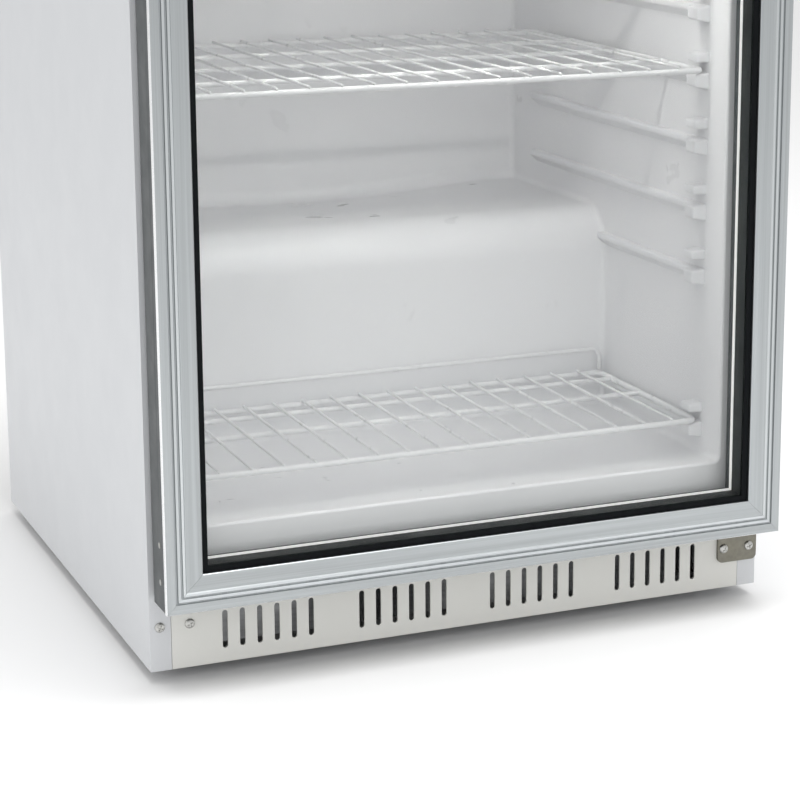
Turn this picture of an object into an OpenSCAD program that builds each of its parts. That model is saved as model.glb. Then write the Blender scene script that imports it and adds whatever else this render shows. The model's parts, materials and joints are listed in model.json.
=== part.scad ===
// Undercounter refrigerator with a glass door: a white steel cabinet on levelling
// feet, foamed around a moulded liner, with a mitred aluminium door on the right-hand hinge.
// Millimetres, +Z up, +X to the right as the door is faced, -Y towards the user.
// The origin is on the floor under the middle of the whole object.

/* [Cabinet] */
// Width over the side panels
body_w = 600; // [590:1:610]
// Depth of the cabinet without its door
body_d = 550; // [545:1:560]
// Height from the floor to the worktop
total_h = 850; // [845:1:870]
// Height of the cabinet's underside above the floor
foot_gap = 12; // [11:1:14]
// Thickness of the painted sheet
sheet = 1.5; // [1.2:0.1:1.6]
// Thickness of the worktop
worktop_t = 28; // [24:1:30]

/* [Door] */
// Thickness from the gasket's sealing plane to the door's face
door_t = 48; // [47:0.5:49]
// Width of the aluminium frame as seen from the front
frame_face = 33; // [32:0.5:34]
// Height of the door's lower edge above the floor
door_bottom = 78.5; // [78:0.5:80]
// Height of the door's upper edge above the floor
door_top = 774; // [770:1:775]
// Sideways gap between the door's edge and the cabinet's side
door_inset = 2.5; // [2:0.5:3]

/* [Cavity] */
// Width between the liner's side walls
cavity_w = 516; // [510:1:518]
// Height of the cavity floor above the ground
cavity_floor = 139; // [138:1:141]
// Height of the cavity ceiling above the ground
cavity_top = 740; // [736:1:742]
// Depth from the cabinet's front plane to the back wall
cavity_d = 478; // [476:1:480]
// Depth from the cabinet's front plane to the compressor hump
hump_y = 248; // [246:1:250]
// Height of the ledge on top of the compressor hump
hump_top = 341; // [338:1:344]
// Radius of the hump's upper edge
hump_r = 40; // [30:1:45]

/* [Plinth grille] */
// Slots in one group
slots_per_group = 6; // [4:1:6]
// Groups of slots
slot_groups = 4; // [2:1:4]
// Distance between neighbouring slots
slot_pitch = 16; // [12:1:17]
// Distance between the groups' first slots
group_pitch = 128; // [120:1:130]
// Width of a slot
slot_w = 5; // [4:0.5:6]
// Height of a slot
slot_h = 35; // [30:1:38]

/* [Shelves] */
// Height of the short bottom shelf's rails
low_rail_z = 169; // [168:1:172]
// Height of the lowest of the upper rails
first_rail_z = 318; // [316:1:320]
// Distance between the upper rails
rail_pitch = 62; // [60:1:62]
// Number of upper rails on each wall
rail_count = 7; // [6:1:7]
// Rail that carries the middle shelf, counted from the lowest as 0
middle_shelf_rail = 3; // [2:1:3]
// Rail that carries the top shelf
top_shelf_rail = 5; // [5:1:5]
// Long wires of a shelf between its two side wires
long_wires = 16; // [12:1:16]
// Distance between the long wires
long_wire_pitch = 29.9; // [28:0.1:30.4]

/* [Hidden] */

$fn = 48;
half_w = body_w / 2;
handle_reach = 30;
front_y = (door_t + handle_reach - body_d) / 2;
cabinet_top = total_h - worktop_t;
side_h = cabinet_top - foot_gap;

// Folded edges of the side panels
front_return = 19;
rear_return = 16;
seam_gap = 0.4;
plinth_w = 2 * (half_w - front_return - seam_gap);
plinth_top = 90;
plinth_lip = 12;

// Holes for a hinge bracket, drilled on both sides so that the door can be re-hung
hinge_hole_x = [264, 291];
low_hole_z = 52;
high_hole_z = 800;
hole_r = 2.15;
screw_r = 2;
screw_head_r = 4.6;
screw_head_h = 2.4;

// Liner and insulation
liner_t = 2;
half_cavity = cavity_w / 2;
shield_t = 1.5;
insulation_floor = plinth_top + 2;
compartment_y = hump_y + 45;
compartment_top = hump_top - 43;
back_panel_y = cavity_d + 42;
corner_r = 15;

// Shelf rails on the liner's side walls
rail_out = 8;
rail_front = 36;
rail_back = 416;
rail_h = 10;
nub_w = 18;
nub_front = 35;
nub_out = 14;
nub_below = 16;
nub_above = 10;
nub_clear = 9;

// The ledge behind the hump falls backwards and towards the drain in its middle
gutter_y = hump_y + hump_r + 2;
gutter_side = 1;
gutter_mid = 12;
gutter_half_w = 75;
trough_half_w = 220;

// Wire shelves
shelf_half_w = 253.5;
shelf_front_y = 33;
shelf_back_y = 410;
frame_wire_r = 2;
front_wire_r = 2.4;
rear_wire_r = 2.2;
long_wire_r = 1.3;
cross_wire_r = 1.7;
weld_sink = 0.3;
stop_y = hump_y - 9;
stop_h = 28;

// Levelling feet
foot_x = 255;
foot_front_y = 62;
foot_rear_y = 500;
stem_r = 5;
stem_clear = 0.05;
foot_pad_r = 18;
foot_travel_gap = 0.3;
socket_top = 42;

// Hinges
hinge_x = 285;
hinge_y = -24;
pin_r = 4;
pin_clear = 0.05;
bracket_t = 3;
bracket_x0 = 258;
bracket_x1 = half_w - 0.5;
bracket_reach = 36;
low_leg_z = 74.5;
high_leg_z = door_top + 1.5;
bush_r = 7;

// Door build-up, from the door's face backwards
door_half_w = half_w - door_inset;
door_h = door_top - door_bottom;
face_back = -42.7;
glass_front = -43.4;
pane_t = 4;
glass_gap = 18;
glass_edge = 25.5;
spacer_w = 12.5;
frame_back = -7.6;
gasket_gap = 0.3;
inner_frame_inset = 0.5;
rear_lip = 36;
mitre_gap = 0.1;
profile_wall = 1.6;
key_leg = 34;
key_w = 20;
edge_screw_y = -30;

// Handle on the left-hand stile, on the usual 96 mm hole spacing
handle_x = -door_half_w + 14;
handle_z0 = 636;
handle_z1 = handle_z0 + 96;
handle_bar_r = 6;
handle_bend_r = 12;

// Control fascia above the door
fascia_z0 = 781;
fascia_t = 2.5;
control_z = (fascia_z0 + cabinet_top) / 2;
lock_x = -230;
thermometer_x = 20;
knob_x = 125;
switch_x = 200;
cam_reach = 36;
cam_w = 10;
cam_y = -23;
shaft_r = 3;
shaft_clear = 0.05;
rocker_tilt = 6;
rocker_w = 13;
rocker_h = 20;

// Evaporator and its fan
cover_half_w = 190;
cover_y = 420;
cover_z0 = 596;
cover_z1 = 724;
cover_t = 2;
coil_x0 = 34;
coil_x1 = 180;
coil_tube_r = 4;
coil_rear_y = 457;
coil_pitch = 26;
fan_x = -80;
fan_z = 660;
fan_r = 50;
motor_shaft_r = 2;

// Refrigeration in the compressor compartment
compressor_x = 60;
compressor_y = 425;
compressor_r = 78;
tray_pan_z = foot_gap + sheet;
grommet_h = 14;
shell_z0 = tray_pan_z + grommet_h + 8;
shell_h = 150;
stub_z = 100;
drip_tray_h = 30;
drain_y = 452;
drain_r = 7;
drain_bore_r = 5.5;
drain_clear = 1;
drain_top = hump_top - gutter_mid + 1;
condenser_y = 534;
condenser_rows = 12;
condenser_z0 = 330;
condenser_pitch = 38;
condenser_half_w = 225;
condenser_tube_r = 2.4;
condenser_wire_r = 0.8;
condenser_wires = 24;

// Lines from the compressor compartment through the foam to the coil
line_y = 499;
line_clear = 1;
suction_x = 100;
suction_r = 4;
capillary_x = 110;
capillary_r = 1;
suction_z = cover_z0 + 4 * coil_pitch;
capillary_z = cover_z0 + 2 * coil_pitch;

module at_front() {
    translate([0, front_y, 0]) children();
}

// Children built at X and repeated mirrored at -X
module both_sides() {
    children();
    mirror([1, 0, 0]) children();
}

// Extrudes an outline given in Y and Z along X, centred on X = 0
module along_x(width) {
    rotate([90, 0, 90])
        translate([0, 0, -width / 2])
            linear_extrude(width) children();
}

// Extrudes an outline given in X and Z along Y, from y0 to y1
module along_y(y0, y1) {
    translate([0, y1, 0])
        rotate([90, 0, 0])
            linear_extrude(y1 - y0) children();
}

// Cylinder along Y, from y0 to y1
module rod_y(x, z, y0, y1, r) {
    translate([x, y0, z])
        rotate([-90, 0, 0])
            cylinder(r = r, h = y1 - y0);
}

// Cylinder along X, from x0 to x1
module rod_x(x0, x1, y, z, r) {
    translate([x0, y, z])
        rotate([0, 90, 0])
            cylinder(r = r, h = x1 - x0);
}

// Cylinder along Z, from z0 to z1
module rod_z(x, y, z0, z1, r) {
    translate([x, y, z0])
        cylinder(r = r, h = z1 - z0);
}

module box(low, high) {
    translate(low) cube(high - low);
}

// Points of an arc, used to round the corners of outlines
function arc(cx, cy, r, from, to, steps = 8) = [
    for (i = [0 : steps])
        let (a = from + (to - from) * i / steps)
            [cx + r * cos(a), cy + r * sin(a)]
];

// Bores for the drain, the suction line and the capillary
module line_bores() {
    rod_z(0, drain_y, compartment_top - 10, hump_top + 10, drain_r + drain_clear);
    for (line = [[suction_x, suction_z, suction_r], [capillary_x, capillary_z, capillary_r]]) {
        bore_r = line[2] + line_clear;
        rod_z(line[0], line_y, compartment_top - 10, line[1] + bore_r, bore_r);
        rod_y(line[0], line[1], cavity_d - 2, line_y, bore_r);
    }
}

function rounded_rect(w, h, r) = concat(
    arc(w / 2 - r, h / 2 - r, r, 0, 90, 6),
    arc(-w / 2 + r, h / 2 - r, r, 90, 180, 6),
    arc(-w / 2 + r, -h / 2 + r, r, 180, 270, 6),
    arc(w / 2 - r, -h / 2 + r, r, 270, 360, 6)
);

// Side view of the cavity in Y and Z, grown outwards by the wall thickness
function cavity_outline(grow, front = 0) = concat(
    [[front, cavity_floor - grow]],
    arc(hump_y - corner_r, cavity_floor + corner_r, corner_r + grow, 270, 360),
    arc(hump_y + hump_r, hump_top - hump_r, hump_r - grow, 180, 90),
    [[gutter_y, hump_top - grow], [cavity_d + grow, hump_top - gutter_side - grow]],
    arc(cavity_d - corner_r, cavity_top - corner_r, corner_r + grow, 0, 90),
    [[front, cavity_top + grow]]
);

// ---------- Cabinet shell ----------

module side_panel() {
    difference() {
        union() {
            box([half_w - sheet, 0, foot_gap], [half_w, body_d, cabinet_top]);
            box([half_w - front_return, 0, foot_gap], [half_w - 0.1, sheet, cabinet_top]);
            box([half_w - rear_return, body_d - sheet, foot_gap], [half_w - 0.1, body_d, cabinet_top]);
        }
        for (z = [low_hole_z, high_hole_z])
            rod_y(hinge_hole_x[1], z, -1, sheet + 1, hole_r);
    }
}

module side_panel_left() {
    color("white") at_front() mirror([1, 0, 0]) side_panel();
}

module side_panel_right() {
    color("white") at_front() side_panel();
}

module worktop() {
    color("whitesmoke") at_front()
        translate([0, (body_d - door_t) / 2, cabinet_top])
            linear_extrude(worktop_t)
                polygon(rounded_rect(body_w, body_d + door_t, 6));
}

module back_panel() {
    color("silver") at_front()
        box([-half_w + sheet, back_panel_y - sheet, compartment_top],
            [half_w - sheet, back_panel_y, cabinet_top]);
}

// Steel pan that carries the feet and the compressor
module base_tray() {
    color("silver") at_front() difference() {
        union() {
            box([-half_w + sheet, sheet + 0.3, foot_gap], [half_w - sheet, body_d - sheet, tray_pan_z]);
            for (y = [plinth_lip + 2, body_d - 2 * sheet])
                box([-half_w + 30, y, foot_gap], [half_w - 30, y + sheet, tray_pan_z + 12]);
        }
        for (x = [-foot_x, foot_x], y = [foot_front_y, foot_rear_y])
            rod_z(x, y, 0, 30, 9.1);
        for (y = [330 : 40 : 490])
            box([-200, y, 0], [-80, y + 12, 30]);
    }
}

// Steel sheet under the foam, which steps up over the compressor compartment
module base_shield() {
    front = sheet + 0.6;
    outline = [
        [front, insulation_floor - shield_t], [compartment_y + shield_t, insulation_floor - shield_t],
        [compartment_y + shield_t, compartment_top - shield_t],
        [back_panel_y - sheet, compartment_top - shield_t],
        [back_panel_y - sheet, compartment_top], [compartment_y, compartment_top],
        [compartment_y, insulation_floor], [front, insulation_floor]
    ];
    color("silver") at_front() difference() {
        along_x(body_w - 2 * sheet) polygon(outline);
        line_bores();
    }
}

module slot_shape() {
    along_y(-1, sheet + 1) {
        square([slot_w, slot_h - slot_w], center = true);
        for (end = [-1, 1])
            translate([0, end * (slot_h - slot_w) / 2]) circle(d = slot_w);
    }
}

module plinth_grille() {
    first_x = -((slot_groups - 1) * group_pitch + (slots_per_group - 1) * slot_pitch) / 2;
    color("gainsboro") at_front() difference() {
        union() {
            box([-plinth_w / 2, 0, foot_gap], [plinth_w / 2, sheet, plinth_top]);
            box([-plinth_w / 2, sheet - 0.1, plinth_top - sheet], [plinth_w / 2, plinth_lip, plinth_top]);
        }
        for (g = [0 : slot_groups - 1], s = [0 : slots_per_group - 1])
            translate([first_x + g * group_pitch + s * slot_pitch, 0, foot_gap + 30.3]) slot_shape();
        for (side = [-1, 1])
            rod_y(side * hinge_hole_x[0], low_hole_z, -1, sheet + 1, hole_r);
    }
}

// Mushroom-headed screw along +Y, with its head's underside at y = 0
module panel_screw(grip) {
    rotate([-90, 0, 0]) {
        cylinder(r = screw_r, h = grip);
        translate([0, 0, -screw_head_h])
            rotate_extrude()
                polygon(concat([[0, screw_head_h], [screw_head_r, screw_head_h]],
                    [for (i = [1 : 8]) [screw_head_r * cos(i * 90 / 8), screw_head_h * (1 - sin(i * 90 / 8))]]));
    }
}

// Screws that close the unused hinge holes on the left
module plug_screws() {
    color("lightgray") at_front()
        for (x = hinge_hole_x, z = [low_hole_z, high_hole_z])
            translate([-x, 0, z]) panel_screw(14);
}

// ---------- Liner and insulation ----------

// One shelf rail on the right-hand wall, with the moulded stops at its front end
module rail(z, back) {
    wall = half_cavity + 1;
    along_y(rail_front, back)
        polygon([[wall, z], [half_cavity - rail_out, z - 0.6], [half_cavity - rail_out, z - 6],
                 [wall, z - rail_h - 4]]);
    along_y(nub_front, nub_front + nub_w)
        polygon([[wall, z - 0.2], [half_cavity - nub_out, z - 1.4],
                 [half_cavity - nub_out, z - nub_below + 3], [wall, z - nub_below]]);
    along_y(nub_front, nub_front + nub_w)
        polygon([[wall, z + nub_clear], [half_cavity - nub_out, z + nub_clear + 1],
                 [half_cavity - nub_out, z + nub_clear + nub_above - 1], [wall, z + nub_clear + nub_above]]);
}

// Shallow pyramid, cut under the sloping ledge, that leads meltwater to the drain
module drain_trough(grow) {
    y = cavity_d + grow;
    z = hump_top - grow;
    apex = [[0, gutter_y, z]];
    base = [[-trough_half_w, y, z - gutter_side], [-gutter_half_w, y, z - gutter_mid],
            [gutter_half_w, y, z - gutter_mid], [trough_half_w, y, z - gutter_side], [0, y, z + 5]];
    polyhedron(points = concat(apex, base),
        faces = [[0, 2, 1], [0, 3, 2], [0, 4, 3], [0, 5, 4], [0, 1, 5], [1, 2, 3, 4, 5]]);
}

module liner() {
    color("white") at_front() {
        difference() {
            union() {
                box([-plinth_w / 2, 0, plinth_top + 0.3], [plinth_w / 2, liner_t, cabinet_top]);
                along_x(cavity_w + 2 * liner_t) polygon(cavity_outline(liner_t, 0.5));
                drain_trough(liner_t);
            }
            along_x(cavity_w) polygon(cavity_outline(0, -1));
            drain_trough(0);
            for (side = [-1, 1])
                rod_y(side * hinge_hole_x[0], high_hole_z, -1, liner_t + 1, hole_r);
            line_bores();
        }
        both_sides() {
            rail(low_rail_z, hump_y - 8);
            for (i = [0 : rail_count - 1])
                rail(rail_height(i), rail_height(i) < hump_top ? hump_y + 1.5 : rail_back);
        }
    }
}

// Rigid foam that fills the space between the liner and the steel shell
module foam_insulation() {
    outline = [
        [liner_t, insulation_floor], [compartment_y, insulation_floor],
        [compartment_y, compartment_top], [back_panel_y - sheet, compartment_top],
        [back_panel_y - sheet, cabinet_top], [liner_t, cabinet_top]
    ];
    color("khaki") at_front() difference() {
        along_x(body_w - 2 * sheet) polygon(outline);
        along_x(cavity_w + 2 * liner_t) polygon(cavity_outline(liner_t, -1));
        drain_trough(liner_t);
        line_bores();
        for (side = [-1, 1], x = hinge_hole_x)
            rod_y(side * x, high_hole_z, -1, 18, 3);
    }
}

// ---------- Levelling feet ----------

module foot_sockets() {
    color("gray") at_front()
        for (x = [-foot_x, foot_x], y = [foot_front_y, foot_rear_y])
            difference() {
                union() {
                    rod_z(x, y, foot_gap, socket_top, 9);
                    rod_z(x, y, tray_pan_z, tray_pan_z + 2.5, 14);
                }
                rod_z(x, y, 0, socket_top + 1, stem_r + stem_clear);
            }
}

module foot(x, y) {
    color("dimgray") at_front() {
        rod_z(x, y, 0, 5, foot_pad_r);
        rod_z(x, y, 4.9, foot_gap - foot_travel_gap, 11);
        rod_z(x, y, foot_gap - foot_travel_gap - 0.1, socket_top + 3, stem_r);
    }
}

module foot_front_left() { foot(-foot_x, foot_front_y); }
module foot_front_right() { foot(foot_x, foot_front_y); }
module foot_rear_left() { foot(-foot_x, foot_rear_y); }
module foot_rear_right() { foot(foot_x, foot_rear_y); }

// ---------- Hinges ----------

// L-shaped plate: one leg on the cabinet's front, one leg under or over the door
module hinge_bracket(leg_z, plate_z0, plate_z1, hole_z) {
    width = bracket_x1 - bracket_x0;
    difference() {
        union() {
            translate([(bracket_x0 + bracket_x1) / 2, 0, (plate_z0 + plate_z1) / 2])
                along_y(-bracket_t, -0.05) polygon(rounded_rect(width, plate_z1 - plate_z0, 5));
            translate([(bracket_x0 + bracket_x1) / 2, -bracket_reach / 2, leg_z])
                linear_extrude(bracket_t) polygon(rounded_rect(width, bracket_reach - 0.1, 6));
            box([bracket_x0, -bracket_reach / 2, leg_z], [bracket_x1, -0.05, leg_z + bracket_t]);
            box([bracket_x0, -bracket_t, min(leg_z, plate_z1 - 12)],
                [bracket_x1, -0.05, max(leg_z + bracket_t, plate_z0 + 12)]);
        }
        for (x = hinge_hole_x)
            rod_y(x, hole_z, -bracket_t - 1, 1, hole_r);
        rod_z(hinge_x, hinge_y, leg_z - 1, leg_z + bracket_t + 1, pin_r);
    }
}

module lower_hinge_bracket() {
    color("darkgray") at_front() hinge_bracket(low_leg_z, 38, low_leg_z + bracket_t, low_hole_z);
}

module upper_hinge_bracket() {
    color("darkgray") at_front() hinge_bracket(high_leg_z, high_leg_z, 816, high_hole_z);
}

module bracket_screws() {
    color("lightgray") at_front()
        for (x = hinge_hole_x, z = [low_hole_z, high_hole_z])
            translate([x, -bracket_t, z]) panel_screw(14 + bracket_t);
}

module hinge_pins() {
    color("darkgray") at_front() {
        rod_z(hinge_x, hinge_y, low_leg_z, door_bottom + 12, pin_r);
        rod_z(hinge_x, hinge_y, low_leg_z + bracket_t, door_bottom - 0.3, 7.5);
        rod_z(hinge_x, hinge_y, door_top - 12, high_leg_z + bracket_t, pin_r);
        rod_z(hinge_x, hinge_y, high_leg_z + bracket_t, high_leg_z + bracket_t + 1.5, 7.5);
    }
}

// Plastic bushes in the door's lower and upper edges
module door_bushes() {
    color("black") at_front() difference() {
        union() {
            rod_z(hinge_x, hinge_y, door_bottom, door_bottom + 14, bush_r);
            rod_z(hinge_x, hinge_y, door_top - 14, door_top, bush_r);
        }
        rod_z(hinge_x, hinge_y, door_bottom - 1, door_bottom + 13, pin_r + pin_clear);
        rod_z(hinge_x, hinge_y, door_top - 13, door_top + 1, pin_r + pin_clear);
    }
}

// ---------- Door ----------

// Cross-section of the aluminium profile: across the face, then in depth
function frame_section() = [
    [0, face_back], [0, -door_t + 0.6], [0.6, -door_t], [8.5, -door_t], [9, -door_t + 1.2],
    [10, -door_t + 1.2], [10.6, -door_t + 0.2], [13, -door_t + 0.2], [13.6, -door_t + 1.2],
    [14.6, -door_t + 1.2], [15.2, -door_t + 0.2], [17.4, -door_t + 0.2], [18.2, -door_t + 0.9],
    [frame_face - 0.6, -door_t + 0.9], [frame_face, -door_t + 1.5], [frame_face, glass_front],
    [frame_face - profile_wall, glass_front], [frame_face - profile_wall, -door_t + 2.8],
    [profile_wall, -door_t + 2.8], [profile_wall, face_back]
];

// One mitred length lying along X, with its outer edge at Z = 0 and growing upwards
module frame_member(length) {
    intersection() {
        rotate([90, 0, 90])
            translate([0, 0, -length / 2])
                linear_extrude(length)
                    polygon([for (p = frame_section()) [p[1], p[0]]]);
        along_y(-door_t - 1, face_back + 1)
            polygon([[-length / 2 + mitre_gap, 0], [length / 2 - mitre_gap, 0],
                     [length / 2 - mitre_gap - frame_face, frame_face],
                     [-length / 2 + mitre_gap + frame_face, frame_face]]);
    }
}

module door_stile_left() {
    color("lightsteelblue") at_front() difference() {
        translate([-door_half_w, 0, door_bottom + door_h / 2])
            rotate([0, 90, 0]) frame_member(door_h);
        for (z = [handle_z0, handle_z1])
            rod_y(handle_x, z, -door_t - 1, face_back, hole_r);
    }
}

module door_stile_right() {
    color("lightsteelblue") at_front()
        translate([door_half_w, 0, door_bottom + door_h / 2])
            rotate([0, -90, 0]) frame_member(door_h);
}

module door_rail_bottom() {
    color("lightsteelblue") at_front()
        translate([0, 0, door_bottom]) frame_member(2 * door_half_w);
}

module door_rail_top() {
    color("lightsteelblue") at_front()
        translate([0, 0, door_top])
            mirror([0, 0, 1]) frame_member(2 * door_half_w);
}

// Cleats inside the mitred corners
module corner_keys() {
    x1 = door_half_w - 3;
    z0 = door_bottom + 3;
    z1 = door_top - 3;
    color("gray") at_front() both_sides()
        for (corner = [[z0, 1], [z1, -1]])
            translate([0, 0, corner[0]])
                mirror([0, 0, corner[1] < 0 ? 1 : 0]) {
                    box([x1 - key_leg, -45, 0], [x1, -43, key_w]);
                    box([x1 - key_w, -45, 0], [x1, -43, key_leg]);
                }
}

// A rectangular ring: outer edge inset from the door's outline, between two depths
module door_ring(outer, inner, y0, y1) {
    difference() {
        box([-door_half_w + outer, y0, door_bottom + outer], [door_half_w - outer, y1, door_top - outer]);
        box([-door_half_w + inner, y0 - 1, door_bottom + inner], [door_half_w - inner, y1 + 1, door_top - inner]);
    }
}

// Dark plastic profile that carries the glass unit and the gasket
module door_inner_frame() {
    glass_back = glass_front + 2 * pane_t + glass_gap;
    slot_x0 = lock_x - cam_w / 2 - 3;
    slot_x1 = lock_x + 28;
    color("dimgray") at_front() difference() {
        union() {
            door_ring(inner_frame_inset, glass_edge - 0.3, face_back, glass_back + 0.2);
            door_ring(inner_frame_inset, rear_lip, glass_back + 0.1, frame_back);
        }
        rod_z(hinge_x, hinge_y, door_bottom - 1, door_bottom + 14, bush_r);
        rod_z(hinge_x, hinge_y, door_top - 14, door_top + 1, bush_r);
        box([slot_x0, cam_y - 3, door_top - 13], [slot_x1, cam_y + 4, door_top + 1]);
        for (side = [-1, 1], end = [0, 1], n = [0, 1])
            rod_x(side > 0 ? 270 : -310, side > 0 ? 310 : -270, edge_screw_y, frame_screw_z(end, n), 1.5);
    }
}

function frame_screw_z(end, n) = end == 0 ? door_bottom + 25 + n * 33 : door_top - 25 - n * 33;

// Small countersunk screws that hold the corners together from the door's edge
module inner_frame_screws() {
    color("gray") at_front() both_sides()
        for (end = [0, 1], n = [0, 1]) {
            rod_x(272, door_half_w - inner_frame_inset, edge_screw_y, frame_screw_z(end, n), 1.5);
            rod_x(door_half_w - inner_frame_inset, door_half_w - 0.1, edge_screw_y, frame_screw_z(end, n), 2.6);
        }
}

module door_gasket() {
    color("lightgray") at_front() door_ring(15, 30, frame_back, -gasket_gap);
}

// Black bead between the aluminium and the outer pane's edge
module glazing_gasket() {
    color("black") at_front()
        door_ring(frame_face + 0.05, frame_face + 5.5, glass_front - 0.9, glass_front);
}

module pane(y0) {
    box([-door_half_w + glass_edge, y0, door_bottom + glass_edge],
        [door_half_w - glass_edge, y0 + pane_t, door_top - glass_edge]);
}

module outer_pane() {
    color("aliceblue", 0.3) at_front() pane(glass_front);
}

module inner_pane() {
    color("aliceblue", 0.3) at_front() pane(glass_front + pane_t + glass_gap);
}

module spacer_bar() {
    color("darkslategray") at_front()
        door_ring(glass_edge, glass_edge + spacer_w, glass_front + pane_t, glass_front + pane_t + glass_gap);
}

// Lower half of the bow handle: a post, a quarter bend and half of the straight grip
module handle_half(half_length) {
    grip_y = -door_t - handle_reach + handle_bar_r;
    bend_y = grip_y + handle_bend_r;
    rod_z(0, grip_y, handle_bend_r - half_length, 0, handle_bar_r);
    translate([0, bend_y, handle_bend_r - half_length])
        rotate([0, 90, 0])
            rotate([0, 0, -90])
                rotate_extrude(angle = 90)
                    translate([handle_bend_r, 0]) circle(r = handle_bar_r);
    rod_y(0, -half_length, bend_y, -door_t, handle_bar_r);
}

module door_handle() {
    half_length = (handle_z1 - handle_z0) / 2;
    color("silver") at_front() difference() {
        translate([handle_x, 0, (handle_z0 + handle_z1) / 2]) {
            handle_half(half_length);
            mirror([0, 0, 1]) handle_half(half_length);
        }
        for (z = [handle_z0, handle_z1])
            rod_y(handle_x, z, -door_t - 8, -door_t + 1, screw_r);
    }
}

module handle_screws() {
    color("gray") at_front()
        for (z = [handle_z0, handle_z1]) {
            rod_y(handle_x, z, -door_t - 8, -door_t + 2.8, screw_r);
            rod_y(handle_x, z, -door_t + 2.8, face_back - 0.3, 3.8);
        }
}

// ---------- Control fascia ----------

// Hollow moulding above the door, open towards the cabinet
module control_fascia() {
    inner_top = cabinet_top - fascia_t;
    color("white") at_front() difference() {
        box([-half_w, -door_t, fascia_z0], [half_w, 0, cabinet_top]);
        box([-half_w + fascia_t, -door_t + fascia_t, fascia_z0 + fascia_t],
            [half_w - fascia_t, 1, inner_top]);
        // Clearance for the upper hinge bracket and its screws
        box([bracket_x0 - 3, -8, fascia_z0 - 1], [half_w + 1, 1, inner_top]);
        // Opening for the lock's cam
        box([lock_x - cam_w / 2 - 3, cam_y - 3, fascia_z0 - 1],
            [lock_x + 32, cam_y + 4, fascia_z0 + fascia_t + 1]);
        rod_y(lock_x, control_z, -door_t - 1, -door_t + 5, 9.6);
        rod_y(knob_x, control_z, -door_t - 1, -door_t + 5, 4.5);
        fascia_opening(thermometer_x, 64, 24);
        fascia_opening(switch_x, rocker_w + 5, rocker_h + 5);
    }
}

// Rectangular cut through the fascia's front wall
module fascia_opening(x, w, h) {
    box([x - w / 2, -door_t - 1, control_z - h / 2], [x + w / 2, -door_t + fascia_t + 1, control_z + h / 2]);
}

module lock_housing() {
    color("silver") at_front() difference() {
        union() {
            rod_y(lock_x, control_z, -door_t - 2.5, -door_t - 0.05, 12);
            rod_y(lock_x, control_z, -door_t - 0.1, -door_t + 16, 9.5);
        }
        rod_y(lock_x, control_z, -door_t - 4, -door_t + 18, 6.5 + shaft_clear);
    }
}

// Key barrel with the cam that drops into the door's upper edge
module lock_barrel() {
    color("darkgray") at_front() difference() {
        union() {
            rod_y(lock_x, control_z, -door_t - 2, cam_y, 6.5);
            translate([lock_x, 0, control_z]) along_y(cam_y, cam_y + 2.5) {
                translate([0, -cam_w / 2]) square([cam_reach - cam_w / 2, cam_w]);
                translate([cam_reach - cam_w / 2, 0]) circle(d = cam_w);
                circle(d = cam_w + 3);
            }
        }
        box([lock_x - 0.8, -door_t - 3, control_z - 3.5], [lock_x + 0.8, -door_t + 6, control_z + 3.5]);
    }
}

module thermometer_bezel() {
    color("black") at_front() difference() {
        union() {
            translate([thermometer_x, 0, control_z])
                along_y(-door_t - 2, -door_t - 0.05) polygon(rounded_rect(70, 30, 3));
            box([thermometer_x - 31.8, -door_t - 0.1, control_z - 11.8],
                [thermometer_x + 31.8, -20, control_z + 11.8]);
        }
        box([thermometer_x - 28, -door_t - 3, control_z - 9],
            [thermometer_x + 28, -door_t + 0.5, control_z + 9]);
    }
}

module thermometer_window() {
    color("darkred") at_front()
        box([thermometer_x - 27.9, -door_t - 1.2, control_z - 8.9],
            [thermometer_x + 27.9, -door_t + 0.5, control_z + 8.9]);
}

module thermostat() {
    color("gray") at_front() {
        box([knob_x - 17, -door_t + fascia_t, control_z - 15], [knob_x + 17, -20, control_z + 15]);
        rod_y(knob_x, control_z, -door_t - 9, -door_t + fascia_t + 0.1, shaft_r);
    }
}

// Round knob with a finger ridge across its face
module thermostat_knob() {
    knob_r = 14;
    color("dimgray") at_front() difference() {
        union() {
            rod_y(knob_x, control_z, -door_t - 8, -door_t - 0.6, knob_r);
            rod_y(knob_x, control_z, -door_t - 10, -door_t - 7.9, knob_r - 2);
            box([knob_x - 2.5, -door_t - 15, control_z - knob_r + 2.5],
                [knob_x + 2.5, -door_t - 9.9, control_z + knob_r - 2.5]);
        }
        rod_y(knob_x, control_z, -door_t - 9.5, -door_t, shaft_r + shaft_clear);
        box([knob_x - 0.6, -door_t - 15.5, control_z + 3], [knob_x + 0.6, -door_t - 14.4, control_z + knob_r]);
    }
}

// Frame of the lamp switch, with the rocker's pivot across it
module switch_housing() {
    wall_x = rocker_w / 2 + 0.4;
    color("black") at_front() difference() {
        union() {
            translate([switch_x, 0, control_z])
                along_y(-door_t - 1.8, -door_t - 0.05)
                    polygon(rounded_rect(rocker_w + 9, rocker_h + 9, 2));
            box([switch_x - wall_x - 1.8, -door_t - 0.1, control_z - rocker_h / 2 - 2.2],
                [switch_x + wall_x + 1.8, -24, control_z + rocker_h / 2 + 2.2]);
        }
        box([switch_x - wall_x, -door_t - 3, control_z - rocker_h / 2 - 0.6],
            [switch_x + wall_x, -27, control_z + rocker_h / 2 + 0.6]);
        rod_x(switch_x - wall_x - 1, switch_x + wall_x + 1, -door_t + 4, control_z, 1.5);
    }
}

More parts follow.
